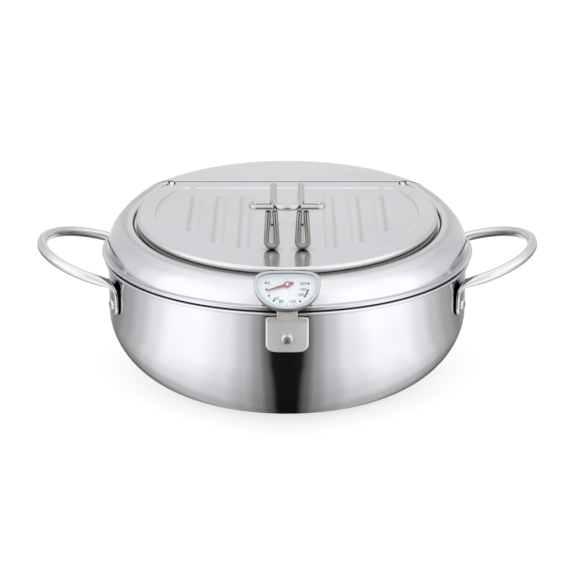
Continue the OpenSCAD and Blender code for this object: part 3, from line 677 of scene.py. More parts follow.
class FRYER_OT_pot(bpy.types.Operator):
    """Makes the pot: flat base, rounded bottom, straight wall and outward rolled rim"""
    bl_idname = "fryer.pot"
    bl_label = "Pot"

    def execute(self, context):
        pot = context.scene.fryer_pot
        outer, inner, bead = pot.wall_radius, pot.wall_radius - pot.wall, pot.rim_bead
        bead_r, bead_z = POT_HIGH.x - bead, pot.rim_top - bead
        lean = np.degrees(np.arccos((outer - bead_r) / bead))
        base = np.stack([np.linspace(0, pot.base_radius, 24, endpoint=False), np.zeros(24)], -1)
        outside = quarter(outer, pot.knee, pot.base_radius, 0, pot.fullness, 64)[::-1]
        wall = np.stack([np.full(12, outer), np.linspace(pot.knee, bead_z - bead, 13)[1:]], -1)
        rim = arc(bead_r, bead_z, bead, -lean, 90, 24)
        rim_in = quarter(inner, bead_z - pot.rim_blend, bead_r, pot.rim_top, 2, 12)[::-1]
        inside = quarter(inner, pot.knee, pot.base_radius, pot.wall, pot.fullness, 64)
        floor = np.stack([np.linspace(pot.base_radius, 0, 25)[1:], np.full(24, pot.wall)], -1)
        profile = np.concatenate([base, outside, wall, rim, rim_in, inside, floor])
        place("pot", [turned(revolve(profile, ROUND))], "mirror", "pot", ["pot_shell"])
        return {"FINISHED"}


# ---------------------------------------------------------------- loop handles

def handle_path(loop, pot):
    """Middle line of a handle: up the wall at its front foot, out and round the loop, and down at the rear.

    Also gives the distance of each point from the nearer end, and the azimuth of the rear foot.
    """
    foot_angle = np.arcsin(loop.half_span / pot.wall_radius)
    start = pot.wall_radius * np.cos(foot_angle)
    foot = (pot.wall_radius + loop.foot_thick / 2) * np.array([np.cos(foot_angle), np.sin(foot_angle)])
    knee_z = loop.height + (foot[0] - start) * np.tan(loop.rise)
    reach = loop.leg + loop.half_span
    corner = [start + reach * np.cos(loop.rise), loop.half_span, loop.height + reach * np.sin(loop.rise)]
    half = np.array([[*foot, loop.foot_low], [*foot, knee_z], corner])
    bends = [0, loop.foot_bend, loop.half_span, loop.half_span, loop.foot_bend, 0]
    path, along = resampled(rounded(np.concatenate([half, half[::-1] * [1, -1, 1]]), bends, step=3), 0.8 * MM)
    return path, np.minimum(along, along[-1] - along), foot_angle


def handle_grid(loop, pot):
    """A handle's tube, whose section goes from the flat foot's to the round tube's by a smooth step.

    The foot's width lies along the wall, and from 12 to 28 mm it turns into the loop's own plane. The
    section's exponent falls from 3.4, a rounded bar, to 2, a circle, and a half circle ends the foot.
    """
    path, from_end, foot_angle = handle_path(loop, pot)
    up = np.array([-np.sin(loop.rise), 0, np.cos(loop.rise)])
    across = unit(np.cross(up, unit(np.gradient(path, axis=0))))
    along_wall = np.stack([np.full(len(path), -np.sin(foot_angle)),
                           np.sign(path[:, 1]) * np.cos(foot_angle), np.zeros(len(path))], -1)
    turn = ease((from_end - 12 * MM) / (16 * MM))[:, None]
    side = along_wall * (1 - turn) + across * turn
    swell = ease((from_end - 13 * MM) / (24 * MM))
    half_foot = loop.foot_width / 2
    round_end = np.sqrt(np.clip(1 - (1 - np.clip(from_end / half_foot, 0, 1)) ** 2, 0.004, 1))
    width = (half_foot * (1 - swell) + loop.tube / 2 * swell) * round_end
    thin_end = 0.55 + 0.45 * ease(from_end / (1.2 * MM))
    height = (loop.foot_thick / 2 * (1 - swell) + loop.tube / 2 * swell) * thin_end
    return capped(sweep(path, side, width, height, 3.4 - 1.4 * swell, 48))


class FRYER_OT_handles(bpy.types.Operator):
    """Makes the two loop handles, each a bent tube whose ends are flattened and turned down the wall"""
    bl_idname = "fryer.handles"
    bl_label = "Loop handles"

    def execute(self, context):
        grid = handle_grid(context.scene.fryer_handles, context.scene.fryer_pot)
        for side, loop in both_sides(grid):
            place(f"handle_loop_{side}", [tube(loop)], "mirror", "pot", [f"handle_{side}"])
        return {"FINISHED"}


class FRYER_OT_rivets(bpy.types.Operator):
    """Makes the four handle rivets, domed outside and flat-headed inside the pot"""
    bl_idname = "fryer.rivets"
    bl_label = "Handle rivets"

    def execute(self, context):
        loop, pot = context.scene.fryer_handles, context.scene.fryer_pot
        head, shank, foot = loop.rivet_head / 2, loop.rivet_shank / 2, loop.foot_thick
        inner, edge = -pot.wall, 0.4 * MM
        inner_head = head - 0.5 * MM
        profile = np.concatenate([
            [[0, inner - 3 * edge]],
            arc(inner_head - edge, inner - 2 * edge, edge, -90, 0, 6),
            [[inner_head, inner - PLAY], [shank, inner - PLAY], [shank, foot], [head, foot]],
            quarter(head, foot + 0.35 * MM, 0, foot + loop.rivet_dome, 2.2, 20)])
        grid = revolve(profile, 64)
        angle = np.arcsin(loop.half_span / pot.wall_radius)
        spots = {"rivet_right_front": -angle, "rivet_right_rear": angle,
                 "rivet_left_front": np.pi + angle, "rivet_left_rear": np.pi - angle}
        for name, azimuth in spots.items():
            spot = on_wall(grid, azimuth, pot.wall_radius, loop.rivet_height)
            place(name + "_domed", [turned(spot)], "mirror", "pot", [name])
        return {"FINISHED"}


# ---------------------------------------------------------------- lid

def shoulder(lid, foot, crest, top, azimuth, inset, count=72, stop=0.0):
    """Grid of a dome's shoulder, a superellipse section that starts at the level of the lid's hem.

    The section runs from (foot, dome_low) to (crest, top), or ends where its radius falls to `stop`.
    The level plane meets it at a different height for each azimuth,
    z = (hem - origin - r sin u sin slant) / cos slant, found by repeating that for r.
    """
    low, power = lid.dome_low, lid.fullness
    cut = lid.brim_low + lid.hem / 2 - lid.origin
    c, s = np.cos(lid.slant), np.sin(lid.slant)
    r0, r1, z1 = (np.broadcast_to(v, azimuth.shape) for v in (foot - inset, crest - inset / 2, top - inset))
    radius = r0
    for _ in range(4):
        height = np.clip((cut - radius * np.sin(azimuth) * s) / c, low, z1)
        first = np.arcsin(((height - low) / (z1 - low)) ** (power / 2))
        radius = r1 + (r0 - r1) * np.cos(first) ** (2 / power)
    last = np.arccos(np.clip((stop - r1) / (r0 - r1), 0, 1) ** (power / 2))
    t = np.linspace(0, 1, count)[None]
    a = first[:, None] * (1 - t) + last[:, None] * t
    radius = r1[:, None] + (r0 - r1)[:, None] * np.abs(np.cos(a)) ** (2 / power)
    return radius, low + (z1 - low)[:, None] * np.sin(a) ** (2 / power)


def sealed(loop):
    """A grid of closed sections whose two ends close, each by a row of (p + its opposite) / 2."""
    ends = (loop[[0, -1]] + loop[[0, -1], ::-1]) / 2
    return np.concatenate([ends[:1], loop, ends[1:]])


def around(radius, azimuth, height):
    """Points at a radius, an azimuth and a height: (r cos u, r sin u, z)."""
    return np.stack([radius * np.cos(azimuth), radius * np.sin(azimuth), height], -1)


def ring_grid(lid, count=300):
    """The ring's sheet in front of the chord: shoulder, crest, pocket wall and ledge, then back beneath.

    Each point keeps its share u of the half turn between the front and the chord, whose azimuth is
    asin(chord / r), so that the sheet ends on the chord's plane at every radius. Behind the middle the
    ring rises to the crescent's own section by the smooth step of (y - rise) / (chord - rise).
    """
    t, top, shelf = lid.sheet, lid.ring_top, lid.ledge_height
    crest_bend, pocket_bend, ledge_edge = 1.5 * MM, 0.9 * MM, 0.45 * MM
    under_bend, fold = 1.2 * MM, 0.3 * MM
    past_chord = 0.72 * MM
    u = np.linspace(-1, 1, count)
    rough_azimuth = -np.pi / 2 + u * (np.pi / 2 + np.arcsin(lid.chord / lid.ring_foot))
    w = ease((lid.ring_crest * np.sin(rough_azimuth) - lid.rise) / (lid.chord - lid.rise))
    from_to = ((lid.ring_foot, lid.back_foot), (lid.ring_crest, lid.back_flat), (top, lid.top))
    section = [a * (1 - w) + b * w for a, b in from_to]
    inner = [[lid.ring_crest, top], [lid.pocket, top], [lid.pocket, shelf], [lid.ledge, shelf],
             [lid.ledge, shelf - t], [lid.pocket + t, shelf - t], [lid.pocket + t, top - t],
             [lid.ring_crest - t / 2, top - t]]
    bends = [0, crest_bend, pocket_bend, ledge_edge, ledge_edge, under_bend, fold, 0]
    inner = rounded(inner, bends, step=12)[1:-1]
    out_r, out_z = shoulder(lid, *section, rough_azimuth, 0, stop=lid.pocket + crest_bend)
    in_r, in_z = shoulder(lid, *section, rough_azimuth, t, stop=lid.pocket + t + fold)
    # the pocket's wall is stretched up to the shoulder's end
    above = np.where(np.arange(len(inner)) <= inner[:, 0].argmin(), shelf, shelf - t)
    share = np.clip((inner[:, 1] - above) / (top - shelf), 0, 1)
    wall_z = inner[:, 1] + share * (out_z[:, -1:] - top)
    r = np.concatenate([out_r, np.broadcast_to(inner[:, 0], (count, len(inner))), in_r[:, ::-1]], 1)
    z = np.concatenate([out_z, wall_z, in_z[:, ::-1]], 1)
    azimuth = -np.pi / 2 + u[:, None] * (np.pi / 2 + np.arcsin((lid.chord + past_chord) / r))
    return sealed(around(r, azimuth, z))


def crescent_shell(lid, count=220):
    """The crescent as a closed sheet, lofted from the rolled edge on the chord's plane to the hem.

    The edge on the chord is the section's own curve, and the sheet rolls over it on a quarter circle,
    (x, edge - r sin w, z - r (1 - cos w)) for w from 0 to 90 degrees.
    """
    t, roll, tuck = lid.sheet, 0.7 * MM, 0.1 * MM
    edge = lid.chord + roll
    u = np.linspace(-1, 1, count)
    layers = []
    for inset in (0.0, t):
        rough = np.pi / 2 - u * (np.pi / 2 - np.arcsin(edge / lid.back_foot))
        r, z = shoulder(lid, lid.back_foot, lid.back_flat, lid.top, rough, inset, 64)
        dome = around(r, np.pi / 2 - u[:, None] * (np.pi / 2 - np.arcsin(edge / r)), z)
        last = dome[:, -1]
        front = np.stack([last[:, 0], np.full(count, edge), last[:, 2]], -1)
        k = np.linspace(0, 1, 14)[None, 1:, None]
        layers.append(np.concatenate([dome, last[:, None] * (1 - k) + front[:, None] * k], 1))
    outer, inner = layers
    x, z = outer[:, -1, 0], outer[:, -1, 2]
    w = np.linspace(0, np.pi / 2, 10)[None, 1:]
    rolled = np.stack(np.broadcast_arrays(x[:, None], edge - roll * np.sin(w),
                                          z[:, None] - roll * (1 - np.cos(w))), -1)
    wall = np.stack([x, np.full(count, lid.chord), np.full(count, lid.ledge_height - t)], -1)[:, None]
    back = wall + [0, t, 0]
    under = np.stack([x, np.full(count, lid.chord + t), z - t - tuck], -1)[:, None]
    k = np.linspace(0, 1, w.size, endpoint=False)[None, :, None]
    under = under * (1 - k) + inner[:, -1:] * k
    return sealed(np.concatenate([outer, rolled, wall, back, under, inner[:, ::-1]], 1))


def ledge_bar(lid):
    """The ledge along the crescent's wall, a bar with rounded edges carried across the opening."""
    edge, tuck, width = 0.4 * MM, 0.6 * MM, 8.5 * MM
    reach = np.sqrt(lid.pocket ** 2 - lid.chord ** 2) - 0.3 * MM
    front, back = lid.chord - width, lid.chord + tuck
    low, high = lid.ledge_height - lid.sheet, lid.ledge_height
    section = rounded([[front, low], [back, low], [back, high], [front, high]],
                      [edge, edge / 2, edge / 2, edge], True, 15)
    x = np.linspace(-reach, reach, 40)[:, None]
    return capped(np.stack(np.broadcast_arrays(x, section[:, 0], section[:, 1]), -1))


def brim_profile(lid):
    """The level brim's section: locating skirt, seat, riser and an edge folded over into a round hem."""
    t, fold = lid.sheet, 0.3 * MM
    skirt, seat, riser = lid.skirt, lid.seat, lid.seat_edge
    skirt_low, hem = seat - lid.skirt_depth, lid.hem / 2
    low, high = lid.brim_low, lid.brim_low + lid.hem
    edge = lid.edge_radius - hem
    start = rounded([[skirt - t, skirt_low], [skirt, skirt_low], [skirt, seat], [riser, seat],
                     [riser, low], [edge, low]], [fold, fold, fold, 2 * fold, fold, 0], step=15)[:-1]
    top = skirt - 0.2 * MM
    close = [[top, high], [top, seat + t], [skirt - t, seat + t]]
    return np.concatenate([start, arc(edge, low + hem, hem, -90, 90, 13), close])


class FRYER_OT_lid(bpy.types.Operator):
    """Makes the lid: the ring, the crescent behind it, and the level brim with a locating skirt"""
    bl_idname = "fryer.lid"
    bl_label = "Lid"

    def execute(self, context):
        lid = context.scene.fryer_lid
        ring = [tube(slanted(ring_grid(lid))), tube(slanted(ledge_bar(lid)))]
        place("lid_ring_shell", ring, "lid", "lid", ["lid_ring"])
        place("lid_crescent", [tube(slanted(crescent_shell(lid)))], "crescent", "lid", [])
        place("lid_brim", [hoop(revolve(brim_profile(lid), ROUND))], "brim", "lid", [])
        return {"FINISHED"}


# ---------------------------------------------------------------- flap

def flap_outline(flap):
    """The flap seen from above, anticlockwise: the arc, the two hinge notches and the straight rear edge."""
    end = np.degrees(np.arcsin(flap.notch_y / flap.radius))
    front = arc(0, 0, flap.radius, -180 - end, end, 260)
    corners = np.array([[flap.notch_x, flap.notch_y], [flap.notch_x, flap.rear],
                        [-flap.notch_x, flap.rear], [-flap.notch_x, flap.notch_y]])
    rear = np.stack([np.linspace(flap.notch_x, -flap.notch_x, 80)[1:-1], np.full(78, flap.rear)], -1)
    points = np.concatenate([front, corners[:2], rear, corners[2:]])
    radii = np.zeros(len(points))
    radii[[0, len(front) - 1]] = flap.roll + 0.2 * MM
    radii[[len(front), len(front) + 1, -2, -1]] = 1.0 * MM
    return rounded(points, radii, True, 12)


def flap_height(flap, lid, x, y):
    """Height of the flap's upper face: level border, panel sunk by a smooth step, and a low band per rib.

    The panel's edge is the soft maximum (a + b + sqrt((a - b)^2 + blend^2)) / 2 of its round and straight
    edges. A band is h times the smooth step of 1.25 (1 - d / w), d the distance to the rib's middle line.
    """
    blend, panel_edge = 4 * MM, 2.4 * MM
    round_edge, rear_edge = np.hypot(x, y) - flap.panel, y - flap.panel_rear
    inside = (round_edge + rear_edge + np.hypot(round_edge - rear_edge, blend)) / 2
    z = lid.top - flap.panel_drop * (1 - ease(inside / panel_edge + 0.5))
    half = flap.rib_width / 2
    for side in (-1, 1):
        for i in range(3):
            rib_x = side * (flap.rib_first + i * flap.rib_pitch)
            front = -np.sqrt(flap.rib_reach ** 2 - rib_x ** 2)
            distance = np.hypot(x - rib_x, y - np.clip(y, front, flap.rib_rear))
            z = z + flap.rib_height * ease(1.25 * (1 - distance / half))
    return z


def flap_grid(flap, lid):
    """The flap as one closed sheet: out over the rolled edge, round the skirt and back beneath."""
    t, cut_roll, nip = flap.sheet, 0.35 * MM, 0.2 * MM
    outline = flap_outline(flap)
    step = np.roll(outline, -1, 0) - np.roll(outline, 1, 0)
    out = unit(np.stack([step[:, 1], -step[:, 0]], -1))
    # rolled and turned down along the arc, a plain cut edge at the notches and the rear
    on_arc = np.hypot(*outline.T) > flap.radius - 0.4 * MM
    wrapped = np.concatenate([on_arc[-3:], on_arc, on_arc[:3]]).astype(float)
    soft = np.convolve(wrapped, np.ones(7) / 7, "valid")
    roll = cut_roll + (flap.roll - cut_roll) * soft
    depth = t + (flap.skirt - t) * soft

    def sheet(inset, drop, count):
        share = np.linspace(0, 1, count) ** 0.8
        core = outline - out * inset[:, None]
        flat = core[:, None] * share[None, :, None]
        z = flap_height(flap, lid, flat[..., 0], flat[..., 1]) - drop
        return np.concatenate([flat, z[..., None]], -1)

    def lip(inset, z):
        flat = outline - out * np.broadcast_to(inset, soft.shape)[:, None]
        return np.concatenate([flat, z[:, None]], -1)[:, None]

    w = np.radians(np.linspace(0, 90, 10))[1:]
    inner_roll = np.maximum(roll - t, 0.05 * MM)
    low = lid.top - depth
    rows = [sheet(roll, 0, 150)]
    rows += [lip(roll * (1 - np.sin(a)), lid.top - roll * (1 - np.cos(a))) for a in w]
    rows += [lip(0, low + nip), lip(nip, low), lip(t - nip, low), lip(t, low + nip * soft)]
    rows += [lip(t + inner_roll * (1 - np.sin(a)), lid.top - t - inner_roll * (1 - np.cos(a)) * soft)
             for a in w[::-1]]
    rows += [sheet(t + inner_roll, t, 60)[:, ::-1]]
    return np.concatenate(rows, 1)


def smooth_panel(mesh, flap, lid):
    """Gives both faces of the flap the normals of its height, +-(-dz/dx, -dz/dy, 1), for even reflections."""
    co = np.zeros(len(mesh.vertices) * 3)
    mesh.vertices.foreach_get("co", co)
    x, y, z = co.reshape(-1, 3).T
    c, s = np.cos(lid.slant), np.sin(lid.slant)
    across, up = y * c + (z - lid.origin) * s, (z - lid.origin) * c - y * s
    step, near = 0.05 * MM, 0.002 * MM

    def slope(dx, dy):
        rise = flap_height(flap, lid, x + dx, across + dy) - flap_height(flap, lid, x - dx, across - dy)
        return rise / (2 * step)

    slope_x, slope_y = slope(step, 0), slope(0, step)
    normal = unit(np.stack([-slope_x, -slope_y * c - s, c - slope_y * s], -1))
    depth = flap_height(flap, lid, x, across) - up
    face = (np.abs(depth) < near).astype(float) - (np.abs(depth - flap.sheet) < near)
    mesh.normals_split_custom_set_from_vertices((normal * face[:, None]).tolist())


def x_turned(profile, y, z, count=32):
    """Grid of a profile [x, radius] turned about an axis along X: (x, y + r cos a, z + r sin a)."""
    a = np.linspace(0, TAU, count, endpoint=False)[:, None]
    x, r = profile[None, :, 0], profile[None, :, 1]
    return np.stack([np.broadcast_to(x, (count, len(profile))), y + r * np.cos(a), z + r * np.sin(a)], -1)


class FRYER_OT_flap(bpy.types.Operator):
    """Makes the draining flap: rolled edge, sunk panel, six ribs and the two rolled hinge knuckles"""
    bl_idname = "fryer.flap"
    bl_label = "Flap"

    def execute(self, context):
        scene = context.scene
        flap, lid, hinge = scene.fryer_flap, scene.fryer_lid, scene.fryer_hinge
        outer, bore = hinge.knuckle / 2, hinge.pin / 2 + 0.02 * MM
        inner_end, outer_end = flap.notch_x - hinge.knuckle_length, flap.notch_x
        section = rounded([[inner_end, bore], [outer_end, bore], [outer_end, outer], [inner_end, outer]],
                          [0.1 * MM, 0.3 * MM, 0.4 * MM, 0.4 * MM], True, 15)
        knuckle = slanted(x_turned(section, hinge.y, hinge.z))
        patches = [turned(slanted(flap_grid(flap, lid)))] + [hoop(grid) for _, grid in both_sides(knuckle)]
        sheet = place("flap_sheet", patches, "flap", "flap", ["flap_plate"])
        smooth_panel(sheet.data, flap, lid)
        return {"FINISHED"}


class FRYER_OT_hinge(bpy.types.Operator):
    """Makes the hinge's two ears on the lid and the two pins through them"""
    bl_idname = "fryer.hinge"
    bl_label = "Hinge"

    def execute(self, context):
        scene = context.scene
        lid, hinge, flap = scene.fryer_lid, scene.fryer_hinge, scene.fryer_flap
        r, outer_face = hinge.eye / 2, hinge.ear_x + hinge.ear_thick
        eye = arc(hinge.y, hinge.z, r, 0, 180, 30)
        foot = np.array([[hinge.y - r, lid.ledge_height], [hinge.y + r, lid.ledge_height]])
        flat = slab(np.concatenate([eye, foot]), hinge.ear_x, outer_face, 0.35 * MM)
        ears = both_sides(slanted(flat[..., [2, 0, 1]]))
        pin, head, head_thick = hinge.pin / 2, hinge.pin / 2 + 0.8 * MM, 0.9 * MM
        x0, x1 = flap.notch_x - hinge.knuckle_length, outer_face + 0.3 * MM
        x2 = x1 + head_thick
        profile = rounded([[x0, 0], [x0, pin], [x1, pin], [x1, head], [x2, head], [x2, 0]],
                          [0, 0.3 * MM, 0.1 * MM, 0.15 * MM, 0.5 * MM, 0], step=15)
        pins = both_sides(slanted(x_turned(profile, hinge.y, hinge.z)))
        for (side, ear), (_, rod) in zip(ears, pins):
            place(f"ear_{side}", [turned(ear)], "lid", "lid", [f"hinge_ear_{side}"])
            place(f"pin_{side}", [turned(rod)], "wire", "flap", [f"hinge_pin_{side}"])
        return {"FINISHED"}


# ---------------------------------------------------------------- wire handle on the flap

class FRYER_OT_grip(bpy.types.Operator):
    """Makes the flap's wire handle: the grip, the two level wings and the two upright hairpin legs"""
    bl_idname = "fryer.grip"
    bl_label = "Wire handle"

    def execute(self, context):
        grip = context.scene.fryer_grip
        near = -grip.front + 0.4 * MM
        bow = slanted(round_wire(self.bow(grip), (0.577, 0.577, 0.577), grip.wire, count=40))
        place("grip_wire", [tube(bow)], "wire", "flap", ["flap_grip"])
        wings = both_sides(slanted(round_wire(self.wing(grip, near), (0, 0, 1), grip.thin)))
        legs = both_sides(slanted(round_wire(self.leg(grip, near), (0, 1, 0), grip.thin)))
        for (side, wing), (_, leg) in zip(wings, legs):
            place(f"wing_wire_{side}", [tube(wing)], "wire", "flap", [f"grip_wing_{side}"])
            place(f"leg_wire_{side}", [tube(leg)], "legs", "flap", [f"grip_leg_{side}"])
        return {"FINISHED"}

    def bow(self, grip):
        """Middle line of the grip: up a rear leg, forward, round the front bend, and back down."""
        x, front, rear, z = grip.half, -grip.front, -grip.rear, grip.height
        half = [[x, rear, grip.floor], [x, rear, z], [x, front, z]]
        whole = half + [[-a, b, c] for a, b, c in half[::-1]]
        # just under half the width, so that the two bends don't meet in one point
        nose = grip.half * 0.999
        return rounded(whole, [0, grip.bend, nose, nose, grip.bend, 0], step=4)

    def wing(self, grip, near):
        """Middle line of a wing: a level hairpin that reaches sideways from the grip's front."""
        far, tip, z = near + grip.wing_gap, grip.wing_tip - grip.thin / 2, grip.height
        bend = grip.wing_gap * 0.4999
        points = [[grip.half - 0.8 * MM, near, z], [tip, near, z],
                  [tip, far, z], [grip.half + 1.2 * MM, far, z]]
        return rounded(points, [0, bend, bend, 0], step=5)

    def leg(self, grip, near):
        """Middle line of a leg: a hairpin that stands on the panel and closes towards the grip."""
        foot, top = grip.floor + grip.thin / 2, grip.height - grip.wire / 2 - 0.1 * MM
        low, high, bend = grip.leg_foot / 2, grip.leg_top / 2, grip.leg_foot * 0.499
        points = [[-high, top], [-low, foot + low], [-low, foot], [low, foot], [low, foot + low], [high, top]]
        return rounded([[grip.leg_x + x, near, z] for x, z in points], [0, 0, bend, bend, 0, 0], step=6)


# ---------------------------------------------------------------- thermometer and bracket

def gauge_outline(gauge, inset=0.0, count=180):
    """Outline of the thermometer: a half ellipse below the pivot, a superellipse above it."""
    a = np.linspace(0, TAU, count, endpoint=False)
    upper = np.sin(a) > 0
    power = np.where(upper, gauge.square, 2.0)
    height = np.where(upper, gauge.up, gauge.low) - inset
    c, s = np.cos(a), np.sin(a)
    return np.stack([(gauge.half_width - inset) * np.sign(c) * np.abs(c) ** (2 / power),
                     height * np.sign(s) * np.abs(s) ** (2 / power)], -1)


def lofted(gauge, steps):
    """Grid through gauge outlines, each given as [inset, height]; an inset of None is the middle point."""
    rings = []
    for inset, z in steps:
        flat = gauge_outline(gauge) * 0 if inset is None else gauge_outline(gauge, inset)
        rings.append(np.concatenate([flat, np.full((len(flat), 1), z)], -1))
    return np.stack(rings, 1)


def bracket_line(gauge, wall):
    """Middle line of the bracket, seen from the side: up the wall, out at the neck and up the case's back."""
    t, bend = gauge.plate_sheet, 2.2 * MM
    up = np.array([np.sin(gauge.lean), np.cos(gauge.lean)])
    out = np.array([-np.cos(gauge.lean), np.sin(gauge.lean)])
    tab = np.array(NEEDLE["pos_m"])[1:] - (gauge.depth + t / 2) * out
    knee = [-wall - t / 2 - 0.1 * MM, gauge.knee]
    line = [[-wall - t / 2, gauge.plate_low], knee, tab - 9 * MM * up, tab + 5 * MM * up]
    return resampled(rounded(line, [0, bend, bend, 0], step=6), 0.35 * MM)


def bracket_width(gauge, s):
    """Half width at each distance along the line: the plate's with its rounded corners, then the neck's.

    A corner of radius r takes off r - sqrt(r^2 - d^2), d the distance past the corner's start.
    """
    shoulder = gauge.plate_high - gauge.plate_low
    low, high = gauge.plate_corner, gauge.shoulder_corner
    below = np.clip(low - s, 0, low)
    above = np.clip(s - (shoulder - high), 0, high)
    plate = gauge.plate_width / 2 - low + np.sqrt(low ** 2 - below ** 2)
    plate = plate - high + np.sqrt(high ** 2 - above ** 2)
    return np.where(s < shoulder, plate, gauge.neck / 2)[:, None], shoulder


def bracket_grid(gauge, pot):
    """The bracket's sheet: across from edge to edge for each point of its middle line, then round the back.

    On the wall it is bent to the pot's radius by r - sqrt(r^2 - x^2), which fades out over 4 mm at the neck.
    """
    t, edge, fade = gauge.plate_sheet, 0.3 * MM, 4 * MM
    wall = pot.wall_radius + PLAY
    line, s = bracket_line(gauge, wall)
    width, shoulder = bracket_width(gauge, s)
    x = width * np.linspace(-1, 1, 41)[None]
    bend = np.clip(1 - (s - shoulder + fade) / fade, 0, 1)[:, None]
    sag = (wall - np.sqrt(wall ** 2 - x ** 2)) * bend
    tangent = unit(np.gradient(line, axis=0))
    normal = np.stack([-tangent[:, 1], tangent[:, 0]], -1)
    from_edge = np.clip((np.abs(x) - (width - edge)) / edge, 0, 1)
    rounding = edge * (1 - np.sqrt(1 - from_edge ** 2))
    layers = []
    for side in (1, -1):
        off = side * (t / 2 - rounding)
        y = line[:, None, 0] + normal[:, None, 0] * off + sag
        z = line[:, None, 1] + normal[:, None, 1] * off
        layers.append(np.stack([x, y, z], -1))
    return np.concatenate([layers[0], layers[1][:, ::-1]], 1)


def screw_patches(gauge, pot):
    """The slotted pan head as a height over the disc, columns across the slot, and the shank behind it.

    The head's height is h (0.5 + 0.5 sqrt(1 - share^3.2)), share the distance from its middle over r.
    """
    r, slot = gauge.screw_head / 2, gauge.slot_width / 2
    a = np.linspace(0, np.arccos(slot / r), 22)
    x = np.concatenate([-r * np.cos(a), [-slot, slot], r * np.cos(a[::-1])])[:, None]
    cut = np.zeros(x.shape)
    cut[len(a):-len(a)] = gauge.slot_depth
    y = np.sqrt(np.clip(r ** 2 - x ** 2, 0, None)) * np.linspace(-1, 1, 33)
    share = np.clip(np.hypot(x, y) / r, 0, 1)
    crown = gauge.screw_rise * (0.5 + 0.5 * np.sqrt(np.clip(1 - share ** 3.2, 0, 1)))
    head = np.stack([np.broadcast_to(x, y.shape), y, crown - cut], -1)
    rim = head[:, [0, -1]] * [1, 1, 0]
    head = np.concatenate([rim[:, :1], head, rim[:, 1:]], 1)
    shank, top, end, bevel = gauge.shank / 2, 0.2 * MM, -gauge.shank_length, 0.4 * MM
    section = [[0, top], [shank, top], [shank, end + bevel], [shank - bevel, end], [0, end]]
    rod = revolve(np.array(section), 32)
    radius = pot.wall_radius + PLAY + gauge.plate_sheet
    head, rod = (on_wall(grid, -np.pi / 2, radius, gauge.screw_height) for grid in (head, rod))
    return [tube(head), turned(rod)]


class FRYER_OT_bracket(bpy.types.Operator):
    """Makes the bracket that carries the thermometer and its slotted screw, and gives the nut and the sensor
    strip their finishes
    """
    bl_idname = "fryer.bracket"
    bl_label = "Bracket"

    def execute(self, context):
        gauge, pot = context.scene.fryer_gauge, context.scene.fryer_pot
        place("bracket_sheet", [tube(bracket_grid(gauge, pot))], "satin", "pot", ["gauge_bracket"],
              50)
        place("slotted_screw", screw_patches(gauge, pot), "screw", "pot", ["bracket_screw"], sharp=30)
        refinish("bracket_nut", "screw")
        refinish("sensor_strip", "satin")
        return {"FINISHED"}


def scale_point(gauge, value, inset=0.0):
    """Place of a temperature on the scale, moved in by `inset` towards the pivot."""
    angle = gauge.zero + np.radians(gauge.step * value)
    return (gauge.scale_radius - inset) * np.array([np.cos(angle), np.sin(angle)])


def number_patch(gauge, value):
    """Triangles of a number inside its dot: beside it at the scale's sides, above it at the bottom."""
    words = str(value)
    beside = 0.74 * MM * len(words) + 1.0 * MM
    x, y = scale_point(gauge, value, beside)[0], scale_point(gauge, value, 1.8 * MM)[1]
    curve = bpy.data.curves.new("number", "FONT")
    curve.body, curve.size = words, gauge.figure_size
    curve.align_x, curve.align_y = "CENTER", "CENTER"
    curve.extrude, curve.offset, curve.resolution_u = 0.01 * MM, 0.03 * MM, 3
    holder = bpy.data.objects.new("number", curve)
    mesh = bpy.data.meshes.new_from_object(holder)
    co = np.zeros(len(mesh.vertices) * 3)
    mesh.vertices.foreach_get("co", co)
    mesh.calc_loop_triangles()
    triangles = np.zeros(len(mesh.loop_triangles) * 3, np.int32)
    mesh.loop_triangles.foreach_get("vertices", triangles)
    bpy.data.objects.remove(holder)
    bpy.data.meshes.remove(mesh)
    bpy.data.curves.remove(curve)
    return co.reshape(-1, 3) + [x, y, gauge.dial_top + 0.03 * MM], triangles.reshape(-1, 3)


def printed_numbers(gauge, values):
    """One mesh of the dial's numbers."""
    points, faces, start = [], [], 0
    for value in values:
        co, triangles = number_patch(gauge, value)
        points.append(on_face(co))
        faces.append(triangles + start)
        start += len(co)
    mesh = bpy.data.meshes.new("scale_numbers")
    mesh.from_pydata(np.concatenate(points).tolist(), [], np.concatenate(faces).tolist())
    mesh.update()
    mesh.materials.append(finish("figures"))
    return mesh


def red_band(gauge, start, end):
    """The printed band along the scale between two temperatures, as a closed strip."""
    a = gauge.zero + np.radians(gauge.step * np.linspace(start, end, 16))[:, None]
    low, high = gauge.dial_top - 0.02 * MM, gauge.dial_top + 0.05 * MM
    inner, outer = gauge.scale_radius - gauge.band / 2, gauge.scale_radius + gauge.band / 2
    r, z = np.array([inner, outer, outer, inner]), np.array([high, high, low, low])
    return capped(np.stack(np.broadcast_arrays(r * np.cos(a), r * np.sin(a), z), -1))


def dot(gauge, value):
    """A printed dot, a low disc on the dial: small at the odd tens and middling along the scale's bottom."""
    radius = 0.18 * MM if value % 20 else 0.38 * MM if value in (80, 100, 120) else 0.72 * MM
    low, high = gauge.dial_top - 0.02 * MM, gauge.dial_top + 0.05 * MM
    disc = revolve(np.array([[0, high], [radius, high], [radius, low], [0, low]]), 20)
    return disc + [*scale_point(gauge, value), 0]


